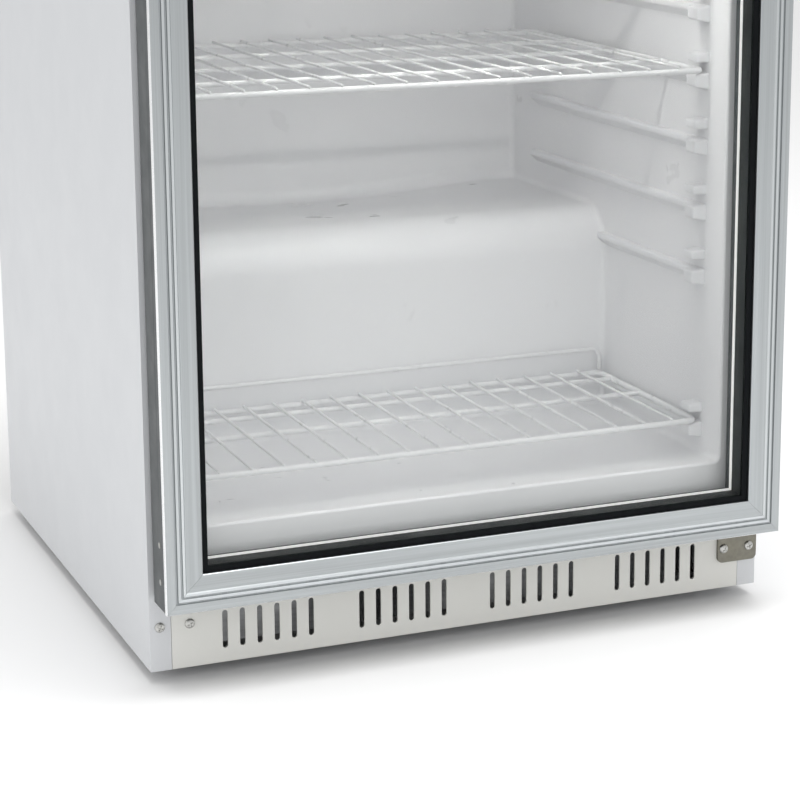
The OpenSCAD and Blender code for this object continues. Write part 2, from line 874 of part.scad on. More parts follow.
// Rocker with its own pivot pin, resting tilted to the off side
module switch_rocker() {
    pivot_y = -door_t + 4;
    color("dimgray") at_front()
        translate([switch_x, pivot_y, control_z]) rotate([-rocker_tilt, 0, 0]) difference() {
            rotate([90, 0, 90])
                translate([0, 0, -rocker_w / 2])
                    linear_extrude(rocker_w)
                        polygon([[-7.2, -rocker_h / 2 + 0.6], [-5.6, 0], [-7.2, rocker_h / 2 - 0.6],
                                 [0, rocker_h / 2 - 0.6], [5, 3], [5, -3], [0, -rocker_h / 2 + 0.6]]);
            rod_x(-rocker_w, rocker_w, 0, 0, 1.55);
        }
}

// ---------- Shelves ----------

function rail_height(i) = first_rail_z + i * rail_pitch;

// Wire grid on two side wires that lie on the rails; each wire is an eight-sided rod
module wire_shelf(rail_z, back_y, cross_ys) {
    $fn = 8;
    side_x = shelf_half_w - frame_wire_r;
    side_z = rail_z + frame_wire_r + 0.2;
    long_z = side_z + cross_wire_r + long_wire_r - weld_sink;
    for (x = [-side_x, side_x])
        rod_y(x, side_z, shelf_front_y + 0.3, back_y + 0.3, frame_wire_r);
    for (i = [0 : long_wires - 1])
        rod_y((i - (long_wires - 1) / 2) * long_wire_pitch, long_z,
              shelf_front_y - 0.5, back_y + 0.6, long_wire_r);
    rod_x(-shelf_half_w, shelf_half_w, shelf_front_y, side_z, front_wire_r);
    rod_x(-shelf_half_w, shelf_half_w, back_y, side_z, rear_wire_r);
    for (y = cross_ys)
        rod_x(-side_x - 0.4, side_x + 0.4, y, side_z, cross_wire_r);
}

module shelf_bottom() {
    color("white") at_front() wire_shelf(low_rail_z, stop_y, [148, 210]);
}

// Upright wire loop behind the bottom shelf, welded to its rear wire
module shelf_bottom_stop() {
    z0 = low_rail_z + 2 * frame_wire_r + 2 * long_wire_r + 1.8;
    z1 = low_rail_z + stop_h;
    x1 = shelf_half_w - 17;
    color("white") at_front() {
        for (x = [-x1, x1])
            rod_z(x, stop_y, z0 - 1, z1 + 1, cross_wire_r);
        for (z = [z0, z1])
            rod_x(-x1 - 3, x1 + 3, stop_y, z, rear_wire_r);
    }
}

module shelf_middle() {
    color("white") at_front() wire_shelf(rail_height(middle_shelf_rail), shelf_back_y, [112, 212, 312]);
}

module shelf_top() {
    color("white") at_front() wire_shelf(rail_height(top_shelf_rail), shelf_back_y, [112, 212, 312]);
}

// ---------- Lamp ----------

module lamp_housing() {
    color("white") at_front() along_x(380)
        polygon([[14, cavity_top], [14, cavity_top - 12], [40, cavity_top - 12], [46, cavity_top]]);
}

module lamp_diffuser() {
    color("ivory") at_front() along_x(364)
        polygon(arc(27, cavity_top - 12, 9, 180, 360, 12));
}

// ---------- Evaporator ----------

module evaporator_cover() {
    inner_z0 = cover_z0 + cover_t;
    inner_z1 = cover_z1 - cover_t;
    color("white") at_front() {
        difference() {
            box([-cover_half_w, cover_y, cover_z0], [cover_half_w, cavity_d - 0.2, cover_z1]);
            box([-cover_half_w + cover_t, cover_y + cover_t, inner_z0],
                [cover_half_w - cover_t, cavity_d + 1, inner_z1]);
            rod_y(fan_x, fan_z, cover_y - 1, cover_y + cover_t + 1, fan_r + 6);
            for (x = [20 : 14 : 174])
                box([x, cover_y - 1, cover_z0 + 22], [x + 6, cover_y + cover_t + 1, cover_z1 - 22]);
        }
        // Finger guard: rings on crossed bars in front of the fan
        for (r = [14 : 10 : 54])
            translate([fan_x, 0, fan_z]) along_y(cover_y + 0.2, cover_y + 1.8) difference() {
                circle(r = r + 1);
                circle(r = r - 1);
            }
        for (a = [45, 135])
            translate([fan_x, cover_y + 1, fan_z]) rotate([0, a, 0])
                box([-fan_r - 7, -0.6, -1], [fan_r + 7, 0.6, 1]);
    }
}

// Finned coil beside the fan
module evaporator_coil() {
    color("silver") at_front() {
        for (x = [40 : 11 : 172])
            box([x, 432, cover_z0 + 12], [x + 0.6, 466, cover_z1 - 12]);
        for (z = [cover_z0 + coil_pitch : coil_pitch : cover_z1 - 20], y = [coil_rear_y - 16, coil_rear_y])
            rod_x(coil_x0, coil_x1, y, z, coil_tube_r);
    }
}

// Shaded-pole motor on three arms fixed to the back wall
module fan_motor() {
    color("gray") at_front() {
        rod_y(fan_x, fan_z, 450, 472, 20);
        rod_y(fan_x, fan_z, 431, 450.1, motor_shaft_r);
        for (a = [90, 210, 330])
            translate([fan_x, 0, fan_z]) rotate([0, a, 0])
                box([-4, 468, -4], [48, 472, 4]);
        for (a = [90, 210, 330])
            translate([fan_x, 0, fan_z]) rotate([0, a, 0])
                rod_y(44, 0, 471.9, cavity_d - 0.1, 4);
    }
}

module fan_blade() {
    color("black") at_front() difference() {
        union() {
            rod_y(fan_x, fan_z, 430, 446, 13);
            for (a = [0 : 72 : 359])
                translate([fan_x, 438, fan_z]) rotate([0, a, 0]) rotate([28, 0, 0])
                    rotate([90, 0, 0]) translate([0, 0, -0.8])
                        linear_extrude(1.6)
                            polygon([[9, -6], [fan_r - 8, -13], [fan_r - 5, 0], [fan_r - 10, 11], [9, 7]]);
        }
        rod_y(fan_x, fan_z, 429.9, 447, motor_shaft_r + shaft_clear);
    }
}

// ---------- Refrigeration ----------

module compressor() {
    z0 = tray_pan_z + grommet_h;
    color("black") at_front() translate([compressor_x, compressor_y, 0]) {
        translate([0, 0, shell_z0]) rotate_extrude($fn = 96)
            polygon(concat([[0, 0], [compressor_r - 18, 0]],
                arc(compressor_r - 18, 18, 18, 270, 360, 6),
                [[compressor_r, 84], [compressor_r + 5, 84], [compressor_r + 5, 90], [compressor_r, 90]],
                arc(compressor_r - 42, shell_h - 42, 42, 0, 90, 8),
                [[0, shell_h]]));
        for (side = [-1, 1])
            box([-95, side * 62 - 14, z0], [95, side * 62 + 14, z0 + 3]);
        for (side = [-1, 1])
            box([-16, side * 50 - 10, z0 + 2.9], [16, side * 50 + 10, z0 + 14]);
    }
}

module compressor_grommets() {
    color("black") at_front()
        for (x = [-84, 84], y = [-62, 62])
            rod_z(compressor_x + x, compressor_y + y, tray_pan_z, tray_pan_z + grommet_h, 10);
}

function row_z(i) = condenser_z0 + i * condenser_pitch;

// Serpentine tube between two rows of upright wires on the back
module condenser() {
    bend_r = condenser_pitch / 2;
    color("black") at_front() {
        for (i = [0 : condenser_rows - 1])
            rod_x(-condenser_half_w, condenser_half_w, condenser_y, row_z(i), condenser_tube_r);
        for (i = [0 : condenser_rows - 2])
            translate([(i % 2 == 0 ? -1 : 1) * condenser_half_w, condenser_y, row_z(i) + bend_r])
                rotate([90, 0, 0])
                    rotate([0, 0, i % 2 == 0 ? 90 : -90])
                        rotate_extrude(angle = 180)
                            translate([bend_r, 0]) circle(r = condenser_tube_r);
        for (i = [0 : condenser_wires - 1], side = [-1, 1])
            rod_z(-condenser_half_w + 10 + i * (2 * condenser_half_w - 20) / (condenser_wires - 1),
                  condenser_y + side * (condenser_tube_r + condenser_wire_r + 0.05),
                  condenser_z0 - 12, row_z(condenser_rows - 1) + 12, condenser_wire_r);
        // Brackets that hold the coil off the back panel
        for (side = [-1, 1], row = [2, 9])
            translate([side * (condenser_half_w - 3), 0, row_z(row)])
                box([-3, back_panel_y + 0.05, -7], [3, condenser_y + 4, 7]);
    }
}

// Tray on top of the compressor, where meltwater evaporates
module drip_tray() {
    z0 = shell_z0 + shell_h + 0.2;
    color("dimgray") at_front() difference() {
        box([compressor_x - 80, 360, z0], [compressor_x + 80, 488, z0 + drip_tray_h]);
        box([compressor_x - 77, 363, z0 + 2.5], [compressor_x + 77, 485, z0 + drip_tray_h + 1]);
    }
}

module drain_tube() {
    color("white") at_front() difference() {
        rod_z(0, drain_y, 218, drain_top, drain_r);
        rod_z(0, drain_y, 217, drain_top + 1, drain_bore_r);
    }
}

// Straight runs joined by brazed elbows
module tube_run(points, r) {
    for (i = [0 : len(points) - 2]) {
        a = points[i];
        d = points[i + 1] - a;
        translate(a)
            rotate([0, acos(d[2] / norm(d)), atan2(d[1], d[0])])
                cylinder(r = r, h = norm(d), $fn = 24);
    }
    for (i = [1 : len(points) - 2])
        translate(points[i]) sphere(r = r + 0.5, $fn = 24);
}

// Discharge, liquid and suction lines with the filter drier and the capillary
module refrigerant_pipes() {
    stub_x = compressor_r + 0.1;
    riser_x = condenser_half_w + 31;
    drier = [150, 505];
    color("peru") at_front() {
        tube_run([[compressor_x + stub_x, compressor_y, stub_z], [190, compressor_y, stub_z],
                  [190, condenser_y, stub_z], [riser_x, condenser_y, stub_z],
                  [riser_x, condenser_y, row_z(condenser_rows - 1)],
                  [condenser_half_w, condenser_y, row_z(condenser_rows - 1)]], 3);
        tube_run([[condenser_half_w, condenser_y, condenser_z0], [condenser_half_w + 13, condenser_y, condenser_z0],
                  [condenser_half_w + 13, condenser_y, 288], [drier[0], condenser_y, 288],
                  [drier[0], drier[1], 288], [drier[0], drier[1], 258]], 2);
        tube_run([[compressor_x - stub_x, compressor_y, stub_z], [-100, compressor_y, stub_z],
                  [-100, compressor_y, 250], [-100, line_y, 250], [suction_x, line_y, 250],
                  [suction_x, line_y, suction_z], [suction_x, coil_rear_y + coil_tube_r, suction_z]], suction_r);
        tube_run([[drier[0], drier[1], 142], [drier[0], drier[1], 128], [175, 515, 128], [175, 515, 275],
                  [capillary_x, 515, 275], [capillary_x, line_y, 275], [capillary_x, line_y, capillary_z],
                  [capillary_x, coil_rear_y + coil_tube_r, capillary_z]], capillary_r);
        rod_z(drier[0], drier[1], 150, 250, 9);
        rod_z(drier[0], drier[1], 138, 262, 5);
    }
}

// Junction box with the supply inlet's gland at the rear
module inlet_box() {
    color("dimgray") at_front() difference() {
        union() {
            box([-280, 490, 60], [-215, 536, 120]);
            rod_y(-247, 90, 535.9, 548, 10);
        }
        rod_y(-247, 90, 538, 550, 4);
    }
}

side_panel_left();
side_panel_right();
worktop();
back_panel();
base_tray();
base_shield();
plinth_grille();
liner();
foam_insulation();
plug_screws();
foot_sockets();
foot_front_left();
foot_front_right();
foot_rear_left();
foot_rear_right();
lower_hinge_bracket();
upper_hinge_bracket();
bracket_screws();
hinge_pins();
door_bushes();
door_stile_left();
door_stile_right();
door_rail_bottom();
door_rail_top();
corner_keys();
door_inner_frame();
inner_frame_screws();
door_gasket();
glazing_gasket();
outer_pane();
spacer_bar();
inner_pane();
door_handle();
handle_screws();
control_fascia();
lock_housing();
lock_barrel();
thermometer_bezel();
thermometer_window();
thermostat();
thermostat_knob();
switch_housing();
switch_rocker();
shelf_bottom();
shelf_bottom_stop();
shelf_middle();
shelf_top();
lamp_housing();
lamp_diffuser();
evaporator_cover();
evaporator_coil();
fan_motor();
fan_blade();
compressor();
compressor_grommets();
condenser();
drip_tray();
drain_tube();
refrigerant_pipes();
inlet_box();
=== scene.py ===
import json
import math
import random

import bmesh
import bpy
from mathutils import Matrix, Vector


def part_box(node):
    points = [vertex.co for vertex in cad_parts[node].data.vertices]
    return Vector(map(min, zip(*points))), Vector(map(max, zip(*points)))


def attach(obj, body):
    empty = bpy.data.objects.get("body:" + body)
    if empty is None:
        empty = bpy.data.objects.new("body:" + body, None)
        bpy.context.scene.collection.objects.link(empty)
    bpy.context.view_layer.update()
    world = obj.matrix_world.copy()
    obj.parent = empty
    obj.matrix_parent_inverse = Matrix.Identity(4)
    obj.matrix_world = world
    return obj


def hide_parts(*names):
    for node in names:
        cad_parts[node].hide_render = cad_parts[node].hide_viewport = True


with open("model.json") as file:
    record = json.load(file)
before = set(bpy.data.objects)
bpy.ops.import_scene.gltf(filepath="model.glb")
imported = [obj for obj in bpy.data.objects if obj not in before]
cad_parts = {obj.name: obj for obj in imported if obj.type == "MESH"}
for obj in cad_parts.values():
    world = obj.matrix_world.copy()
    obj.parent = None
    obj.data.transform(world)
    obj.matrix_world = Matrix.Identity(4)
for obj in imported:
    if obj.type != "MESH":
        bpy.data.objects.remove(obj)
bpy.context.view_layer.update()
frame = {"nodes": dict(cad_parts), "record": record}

random.seed(7)
MM = 0.001
nodes = frame["nodes"]
scene = bpy.context.scene


# ---------------------------------------------------------------- materials

class Shader:
    """A material with its Principled shader and short ways to add texture nodes."""

    def __init__(self, name, colour, rough, metal=0.0, specular=0.5):
        self.mat = bpy.data.materials.new(name)
        self.mat.use_nodes = True
        self.tree = self.mat.node_tree
        self.bsdf = self.tree.nodes["Principled BSDF"]
        self.bsdf.inputs["Base Color"].default_value = (*colour, 1)
        self.bsdf.inputs["Roughness"].default_value = rough
        self.bsdf.inputs["Metallic"].default_value = metal
        self.bsdf.inputs["Specular IOR Level"].default_value = specular
        self.colour = colour
        self.rough = rough
        self.coords = self.tree.nodes.new("ShaderNodeTexCoord").outputs["Object"]
        self.normal = None

    def link(self, source, target):
        self.tree.links.new(source, target)

    def place(self, stretch):
        """Object coordinates in metres, stretched by a factor along each axis."""
        node = self.tree.nodes.new("ShaderNodeMapping")
        node.inputs["Scale"].default_value = stretch
        self.link(self.coords, node.inputs["Vector"])
        return node.outputs["Vector"]

    def noise(self, scale, detail=3.0, stretch=None, roughness=0.55):
        node = self.tree.nodes.new("ShaderNodeTexNoise")
        node.inputs["Scale"].default_value = scale
        node.inputs["Detail"].default_value = detail
        node.inputs["Roughness"].default_value = roughness
        self.link(self.place(stretch) if stretch else self.coords, node.inputs["Vector"])
        return node.outputs["Fac"]

    def cells(self, scale, stretch=None):
        node = self.tree.nodes.new("ShaderNodeTexVoronoi")
        node.inputs["Scale"].default_value = scale
        self.link(self.place(stretch) if stretch else self.coords, node.inputs["Vector"])
        return node.outputs["Distance"]

    def ramp(self, value, low, high, out_low, out_high):
        """Maps value from low..high to out_low..out_high."""
        node = self.tree.nodes.new("ShaderNodeMapRange")
        node.inputs["From Min"].default_value = low
        node.inputs["From Max"].default_value = high
        node.inputs["To Min"].default_value = out_low
        node.inputs["To Max"].default_value = out_high
        self.link(value, node.inputs["Value"])
        return node.outputs["Result"]

    def height(self, axis, low, high):
        """0 to 1 along one object axis between two places in metres."""
        node = self.tree.nodes.new("ShaderNodeSeparateXYZ")
        self.link(self.coords, node.inputs["Vector"])
        return self.ramp(node.outputs[axis], low, high, 0.0, 1.0)

    def times(self, a, b):
        node = self.tree.nodes.new("ShaderNodeMath")
        node.operation = "MULTIPLY"
        self.link(a, node.inputs[0])
        self.link(b, node.inputs[1])
        return node.outputs["Value"]

    def tint(self, mask, other, amount=1.0):
        """Mixes the base colour towards another colour where mask is 1; calls stack."""
        node = self.tree.nodes.new("ShaderNodeMix")
        node.data_type = "RGBA"
        node.clamp_factor = True
        self.link(self.ramp(mask, 0.0, 1.0, 0.0, amount), node.inputs[0])
        base = self.bsdf.inputs["Base Color"]
        if base.is_linked:
            self.link(base.links[0].from_socket, node.inputs[6])
        else:
            node.inputs[6].default_value = (*self.colour, 1)
        node.inputs[7].default_value = (*other, 1)
        self.link(node.outputs[2], base)
        return self

    def vary_rough(self, value, spread):
        """Roughness runs from rough - spread to rough + spread with value."""
        low, high = max(0.02, self.rough - spread), min(1.0, self.rough + spread)
        self.link(self.ramp(value, 0.3, 0.7, low, high), self.bsdf.inputs["Roughness"])
        return self

    def bump(self, value, depth):
        """Raises the surface by depth metres where value is 1; calls stack."""
        node = self.tree.nodes.new("ShaderNodeBump")
        node.inputs["Distance"].default_value = depth
        self.link(value, node.inputs["Height"])
        if self.normal:
            self.link(self.normal, node.inputs["Normal"])
        self.normal = node.outputs["Normal"]
        self.link(self.normal, self.bsdf.inputs["Normal"])
        return self


def shade(colour, factor):
    return tuple(min(1.0, c * factor) for c in colour)


def painted(name, colour, rough=0.38, peel=0.00005, dust=0.06):
    """Powder-coated sheet: orange peel, faint cloudiness and dust low down."""
    s = Shader(name, colour, rough)
    s.tint(s.noise(3.0), shade(colour, 0.93), 0.5)
    s.tint(s.noise(60.0, 4), shade(colour, 0.96), 0.5)
    low = s.times(s.ramp(s.height("Z", 0.0, 0.16), 0.0, 1.0, 1.0, 0.0), s.noise(14.0, 5, roughness=0.7))
    s.tint(low, (0.42, 0.37, 0.30), dust)
    s.vary_rough(s.noise(25.0, 4), 0.06)
    s.bump(s.noise(420.0, 2), peel)
    s.bump(s.noise(2.2, 1), 0.0006)
    return s.mat


def aluminium(name, along, colour=(0.465, 0.49, 0.50), rough=0.34):
    """Satin anodised extrusion with die lines along one axis, 0 for X and 2 for Z."""
    s = Shader(name, colour, rough, metal=1.0)
    fine = tuple(7.0 if i == along else 900.0 for i in range(3))
    broad = tuple(1.6 if i == along else 160.0 for i in range(3))
    lines, bands = s.noise(1.0, 3, fine), s.noise(1.0, 2, broad)
    s.tint(s.ramp(bands, 0.35, 0.65, 0.0, 1.0), shade(colour, 0.80), 0.8)
    s.tint(s.ramp(lines, 0.4, 0.7, 0.0, 1.0), shade(colour, 1.15), 0.5)
    s.tint(s.noise(9.0, 4), shade(colour, 0.94), 0.5)
    s.vary_rough(s.noise(1.0, 2, broad), 0.07)
    s.bump(lines, 0.000012)
    return s.mat


def moulded(name, colour, rough=0.42, grain=0.00003, wave=0.0002):
    """Injection-moulded or vacuum-formed plastic with fine grain and slight sink."""
    s = Shader(name, colour, rough)
    s.tint(s.noise(5.0), shade(colour, 0.92), 0.4)
    s.tint(s.noise(150.0, 3), shade(colour, 0.95), 0.4)
    s.vary_rough(s.noise(40.0, 4), 0.07)
    s.bump(s.noise(900.0, 2), grain)
    s.bump(s.noise(6.0, 1), wave)
    return s.mat


def liner_plastic(name, colour):
    """Glossy vacuum-formed sheet with faint cloudy tone, uneven gloss, fine grain and slight waviness."""
    s = Shader(name, colour, 0.33)
    s.tint(s.noise(4.0), shade(colour, 0.95), 0.5)
    s.tint(s.noise(120.0, 3), shade(colour, 0.975), 0.5)
    s.vary_rough(s.noise(18.0, 4), 0.06)
    s.bump(s.noise(500.0, 2), 0.000006)
    s.bump(s.noise(5.0, 1), 0.00025)
    return s.mat


def rubber(name, colour, rough=0.62):
    s = Shader(name, colour, rough, specular=0.12)
    s.tint(s.noise(12.0, 4), shade(colour, 1.5), 0.5)
    s.tint(s.noise(300.0, 3), shade(colour, 0.8), 0.4)
    s.vary_rough(s.noise(80.0, 4), 0.1)
    s.bump(s.noise(1400.0, 2), 0.00003)
    return s.mat


def zinc(name, colour, rough=0.42):
    """Passivated zinc plate: mottled, with fine pitting."""
    s = Shader(name, colour, rough, metal=0.9)
    s.tint(s.cells(260.0), shade(colour, 1.35), 0.8)
    s.tint(s.noise(45.0, 5, roughness=0.7), (0.36, 0.33, 0.22), 0.35)
    s.vary_rough(s.noise(120.0, 4), 0.12)
    s.bump(s.noise(500.0, 4), 0.00004)
    return s.mat


def galvanised(name):
    """Spangled galvanised sheet."""
    base = (0.55, 0.56, 0.57)
    s = Shader(name, base, 0.42, metal=0.9)
    s.tint(s.cells(70.0), shade(base, 0.72), 0.9)
    s.tint(s.cells(110.0, (1.0, 1.3, 0.8)), shade(base, 1.25), 0.6)
    s.vary_rough(s.noise(30.0, 4), 0.1)
    s.bump(s.noise(300.0, 3), 0.00003)
    return s.mat


def coated_wire(name, colour):
    """Plastic-dipped wire, with soft runs in the coating."""
    s = Shader(name, colour, 0.32)
    s.tint(s.noise(30.0, 3), shade(colour, 0.93), 0.6)
    s.vary_rough(s.noise(90.0, 3), 0.08)
    s.bump(s.noise(160.0, 2), 0.00012)
    return s.mat


def polished(name, colour, rough=0.16):
    """Bright metal with light handling marks."""
    s = Shader(name, colour, rough, metal=1.0)
    s.tint(s.noise(90.0, 4), shade(colour, 0.85), 0.5)
    s.vary_rough(s.noise(220.0, 4), 0.08)
    s.bump(s.noise(900.0, 3), 0.00001)
    return s.mat


def copper(name):
    base = (0.66, 0.34, 0.21)
    s = Shader(name, base, 0.33, metal=1.0)
    s.tint(s.noise(25.0, 5, roughness=0.7), (0.30, 0.14, 0.08), 0.7)
    s.vary_rough(s.noise(60.0, 4), 0.12)
    s.bump(s.noise(300.0, 3), 0.00003)
    return s.mat


def cast_paint(name, colour, rough=0.5):
    """Thick black paint on a pressed steel shell or tube."""
    s = Shader(name, colour, rough)
    s.tint(s.noise(8.0, 5, roughness=0.7), shade(colour, 2.6), 0.6)
    s.tint(s.ramp(s.height("Z", 0.0, 0.8), 0.0, 1.0, 0.6, 0.2), (0.09, 0.08, 0.07), 0.3)
    s.vary_rough(s.noise(50.0, 4), 0.12)
    s.bump(s.noise(260.0, 3), 0.0001)
    return s.mat


def foam(name):
    base = (0.78, 0.66, 0.36)
    s = Shader(name, base, 0.85, specular=0.2)
    s.tint(s.noise(20.0, 5), (0.60, 0.46, 0.20), 0.7)
    s.tint(s.cells(600.0), shade(base, 1.15), 0.6)
    s.bump(s.cells(700.0), 0.0006)
    return s.mat


def glowing(name, colour, strength):
    s = Shader(name, colour, 0.5)
    s.tint(s.noise(80.0, 3), shade(colour, 0.9), 0.6)
    s.tint(s.noise(9.0, 2), shade(colour, 0.93), 0.5)
    s.bump(s.noise(500.0, 2), 0.00005)
    s.bsdf.inputs["Emission Color"].default_value = (1.0, 0.98, 0.94, 1)
    s.bsdf.inputs["Emission Strength"].default_value = strength
    return s.mat


def pane_glass(name):
    """Clear float glass: reflection by Fresnel over a faint green body, with light smears."""
    s = Shader(name, (0.9, 0.95, 0.93), 0.03)
    tree = s.tree
    tree.nodes.remove(s.bsdf)
    clear = tree.nodes.new("ShaderNodeBsdfTransparent")
    gloss = tree.nodes.new("ShaderNodeBsdfGlossy")
    blend = tree.nodes.new("ShaderNodeMixShader")
    fresnel = tree.nodes.new("ShaderNodeFresnel")
    tintmix = tree.nodes.new("ShaderNodeMix")
    tintmix.data_type = "RGBA"
    tintmix.inputs[6].default_value = (0.988, 0.992, 0.990, 1)
    tintmix.inputs[7].default_value = (0.972, 0.978, 0.976, 1)
    s.link(s.ramp(s.noise(6.0, 6, (1.0, 1.0, 0.35), 0.7), 0.55, 0.8, 0.0, 1.0), tintmix.inputs[0])
    s.link(tintmix.outputs[2], clear.inputs["Color"])
    fresnel.inputs["IOR"].default_value = 1.12
    s.link(s.ramp(s.noise(40.0, 5), 0.4, 0.8, 0.01, 0.05), gloss.inputs["Roughness"])
    s.link(fresnel.outputs["Fac"], blend.inputs["Fac"])
    s.link(clear.outputs["BSDF"], blend.inputs[1])
    s.link(gloss.outputs["BSDF"], blend.inputs[2])
    s.link(blend.outputs["Shader"], tree.nodes["Material Output"].inputs["Surface"])
    return s.mat


WHITE = (0.66, 0.675, 0.695)
MATERIALS = {
    "white_steel": painted("white_powder_coat", WHITE),
    "worktop": painted("worktop_laminate", (0.60, 0.605, 0.605), 0.34, 0.00008, 0.0),
    "plinth_paint": painted("warm_powder_coat", (0.77, 0.77, 0.735), 0.5, 0.00006, 0.08),
    "galvanised": galvanised("galvanised_sheet"),
    "liner_white": liner_plastic("liner_plastic", (0.86, 0.86, 0.875)),
    "foam": foam("insulation_foam"),
    "zinc": zinc("passivated_zinc", (0.155, 0.152, 0.138)),
    "foot_plastic": zinc("dull_steel", (0.22, 0.22, 0.225), 0.5),
    "door_aluminium": aluminium("anodised_level", 0),
    "upright_aluminium": aluminium("anodised_upright", 2),
    "handle_metal": aluminium("handle_aluminium", 2, (0.66, 0.68, 0.69), 0.27),
    "dark_plastic": moulded("dark_plastic", (0.048, 0.056, 0.059), 0.46),
    "hidden_steel": zinc("plain_steel", (0.42, 0.42, 0.42)),
    "gasket_grey": rubber("gasket_grey", (0.17, 0.175, 0.18), 0.55),
    "black_rubber": rubber("black_rubber", (0.0035, 0.0045, 0.0055), 0.7),
    "glass": pane_glass("float_glass"),
    "spacer": moulded("spacer_strip", (0.012, 0.020, 0.019), 0.55),
    "fascia_white": moulded("fascia_plastic", (0.77, 0.775, 0.775), 0.36),
    "chrome": polished("chrome", (0.62, 0.62, 0.63)),
    "bright_screw": polished("bright_screw", (0.56, 0.56, 0.54), 0.28),
    "display_red": moulded("display_window", (0.045, 0.006, 0.006), 0.12, 0.000005, 0.0),
    "knob_black": moulded("knob_plastic", (0.022, 0.022, 0.023), 0.42),
    "wire_white": coated_wire("coated_wire", (0.87, 0.87, 0.88)),
    "lamp_body": moulded("lamp_body", (0.76, 0.76, 0.76), 0.4),
    "lamp_frost": glowing("lamp_frost", (0.85, 0.85, 0.82), 32.0),
    # Painted highlight: the spacer's foil edge glows faintly, though it is no lamp
    "glowing_spacer_highlight": glowing("glowing_spacer_highlight", (0.88, 0.89, 0.89), 0.4),
    # Painted highlight: near-white metal on the door frame's rounded outer corner, standing in for light
    # caught there
    "painted_highlight_corner": polished("painted_highlight_corner", (0.96, 0.97, 0.98), 0.25),
    # Painted highlights: lighter aluminium on the door frame's ridges, lighter on the level rails than on
    # the uprights, standing in for light from above
    "highlit_level_ridges": aluminium("highlit_level_ridges", 0, (0.66, 0.69, 0.71), 0.3),
    "highlit_upright_ridges": aluminium("highlit_upright_ridges", 2, (0.60, 0.63, 0.64), 0.3),
    # Painted shade: darker aluminium in the door frame's grooves
    "painted_shade_groove": aluminium("profile_painted_shade", 2, (0.40, 0.425, 0.435), 0.45),
    "coil_aluminium": aluminium("coil_fins", 2, (0.62, 0.63, 0.64), 0.4),
    "fan_plastic": moulded("fan_plastic", (0.03, 0.03, 0.032), 0.45),
    "black_paint": cast_paint("compressor_paint", (0.012, 0.012, 0.013)),
    "condenser_paint": cast_paint("condenser_paint", (0.014, 0.014, 0.015), 0.55),
    "tray_plastic": moulded("tray_plastic", (0.05, 0.05, 0.052), 0.5),
    "copper": copper("copper_tube"),
}


# ---------------------------------------------------------------- mesh tools

SHARP_ANGLE = 35.0


def make_object(name, bm, material, body, *stands_for, slot_name=None, smooth=SHARP_ANGLE):
    """A new piece from a bmesh; it rides on a CAD body and may stand for CAD nodes."""
    bmesh.ops.recalc_face_normals(bm, faces=bm.faces[:])
    mesh = bpy.data.meshes.new(name)
    bm.to_mesh(mesh)
    bm.free()
    obj = bpy.data.objects.new(name, mesh)
    scene.collection.objects.link(obj)
    finish_surface(obj, material, smooth)
    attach(obj, body)
    if stands_for:
        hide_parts(*stands_for)
    return obj


def finish_surface(obj, material, smooth=SHARP_ANGLE):
    """Gives the piece its one material; edges sharper than smooth degrees stay sharp."""
    obj.data.materials.clear()
    obj.data.materials.append(MATERIALS[material])
    obj.data.polygons.foreach_set("use_smooth", [True] * len(obj.data.polygons))
    obj.data.set_sharp_from_angle(angle=math.radians(smooth))
    obj.data.update()


def even_normals(obj):
    """Keeps large flat faces flat where they meet small rounded ones."""
    mod = obj.modifiers.new("normals", "WEIGHTED_NORMAL")
    mod.keep_sharp = True


def rounded(obj, width):
    """Breaks the edges of a piece with a small radius."""
    mod = obj.modifiers.new("edges", "BEVEL")
    mod.width = width
    mod.segments = 2
    mod.limit_method = "ANGLE"
    mod.angle_limit = math.radians(SHARP_ANGLE)


def sweep(bm, path, radius, sides=12):
    """Tube with domed ends along a list of points."""
    points = [Vector(p) for p in path]
    tangents = []
    for i in range(len(points)):
        before = points[max(i - 1, 0)]
        after = points[min(i + 1, len(points) - 1)]
        tangents.append((after - before).normalized())
    side = tangents[0].orthogonal().normalized()
    rings = []

    def ring(centre, r, tangent, side):
        other = tangent.cross(side)
        made = []
        for k in range(sides):
            a = 2 * math.pi * k / sides
            made.append(bm.verts.new(centre + (side * math.cos(a) + other * math.sin(a)) * r))
        rings.append(made)

    dome = ((0.85, 0.55), (0.5, 0.86))
    for lift, share in dome:
        ring(points[0] - tangents[0] * radius * lift * 0.8, radius * share, tangents[0], side)
    for point, tangent in zip(points, tangents):
        side = (side - tangent * side.dot(tangent)).normalized()
        ring(point, radius, tangent, side)
    for lift, share in reversed(dome):
        ring(points[-1] + tangents[-1] * radius * lift * 0.8, radius * share, tangents[-1], side)
    for a, b in zip(rings, rings[1:]):
        for k in range(sides):
            bm.faces.new((a[k], a[(k + 1) % sides], b[(k + 1) % sides], b[k]))
    bm.faces.new(rings[0][::-1])
    bm.faces.new(rings[-1])


def loop_tube(bm, path, radius, sides=12):
    """Closed tube along a loop of points that lies in one plane."""
    points = [Vector(p) for p in path]
    count = len(points)
    normal = Vector((0, 0, 0))
    for i in range(count):
        normal += points[i].cross(points[(i + 1) % count])
    normal.normalize()
    rings = []
    for i in range(count):
        tangent = (points[(i + 1) % count] - points[i - 1]).normalized()
        other = tangent.cross(normal)
        made = []
        for k in range(sides):
            a = 2 * math.pi * k / sides
            made.append(bm.verts.new(points[i] + (normal * math.cos(a) + other * math.sin(a)) * radius))
        rings.append(made)
    for i in range(count):
        a, b = rings[i], rings[(i + 1) % count]
        for k in range(sides):
            bm.faces.new((a[k], a[(k + 1) % sides], b[(k + 1) % sides], b[k]))


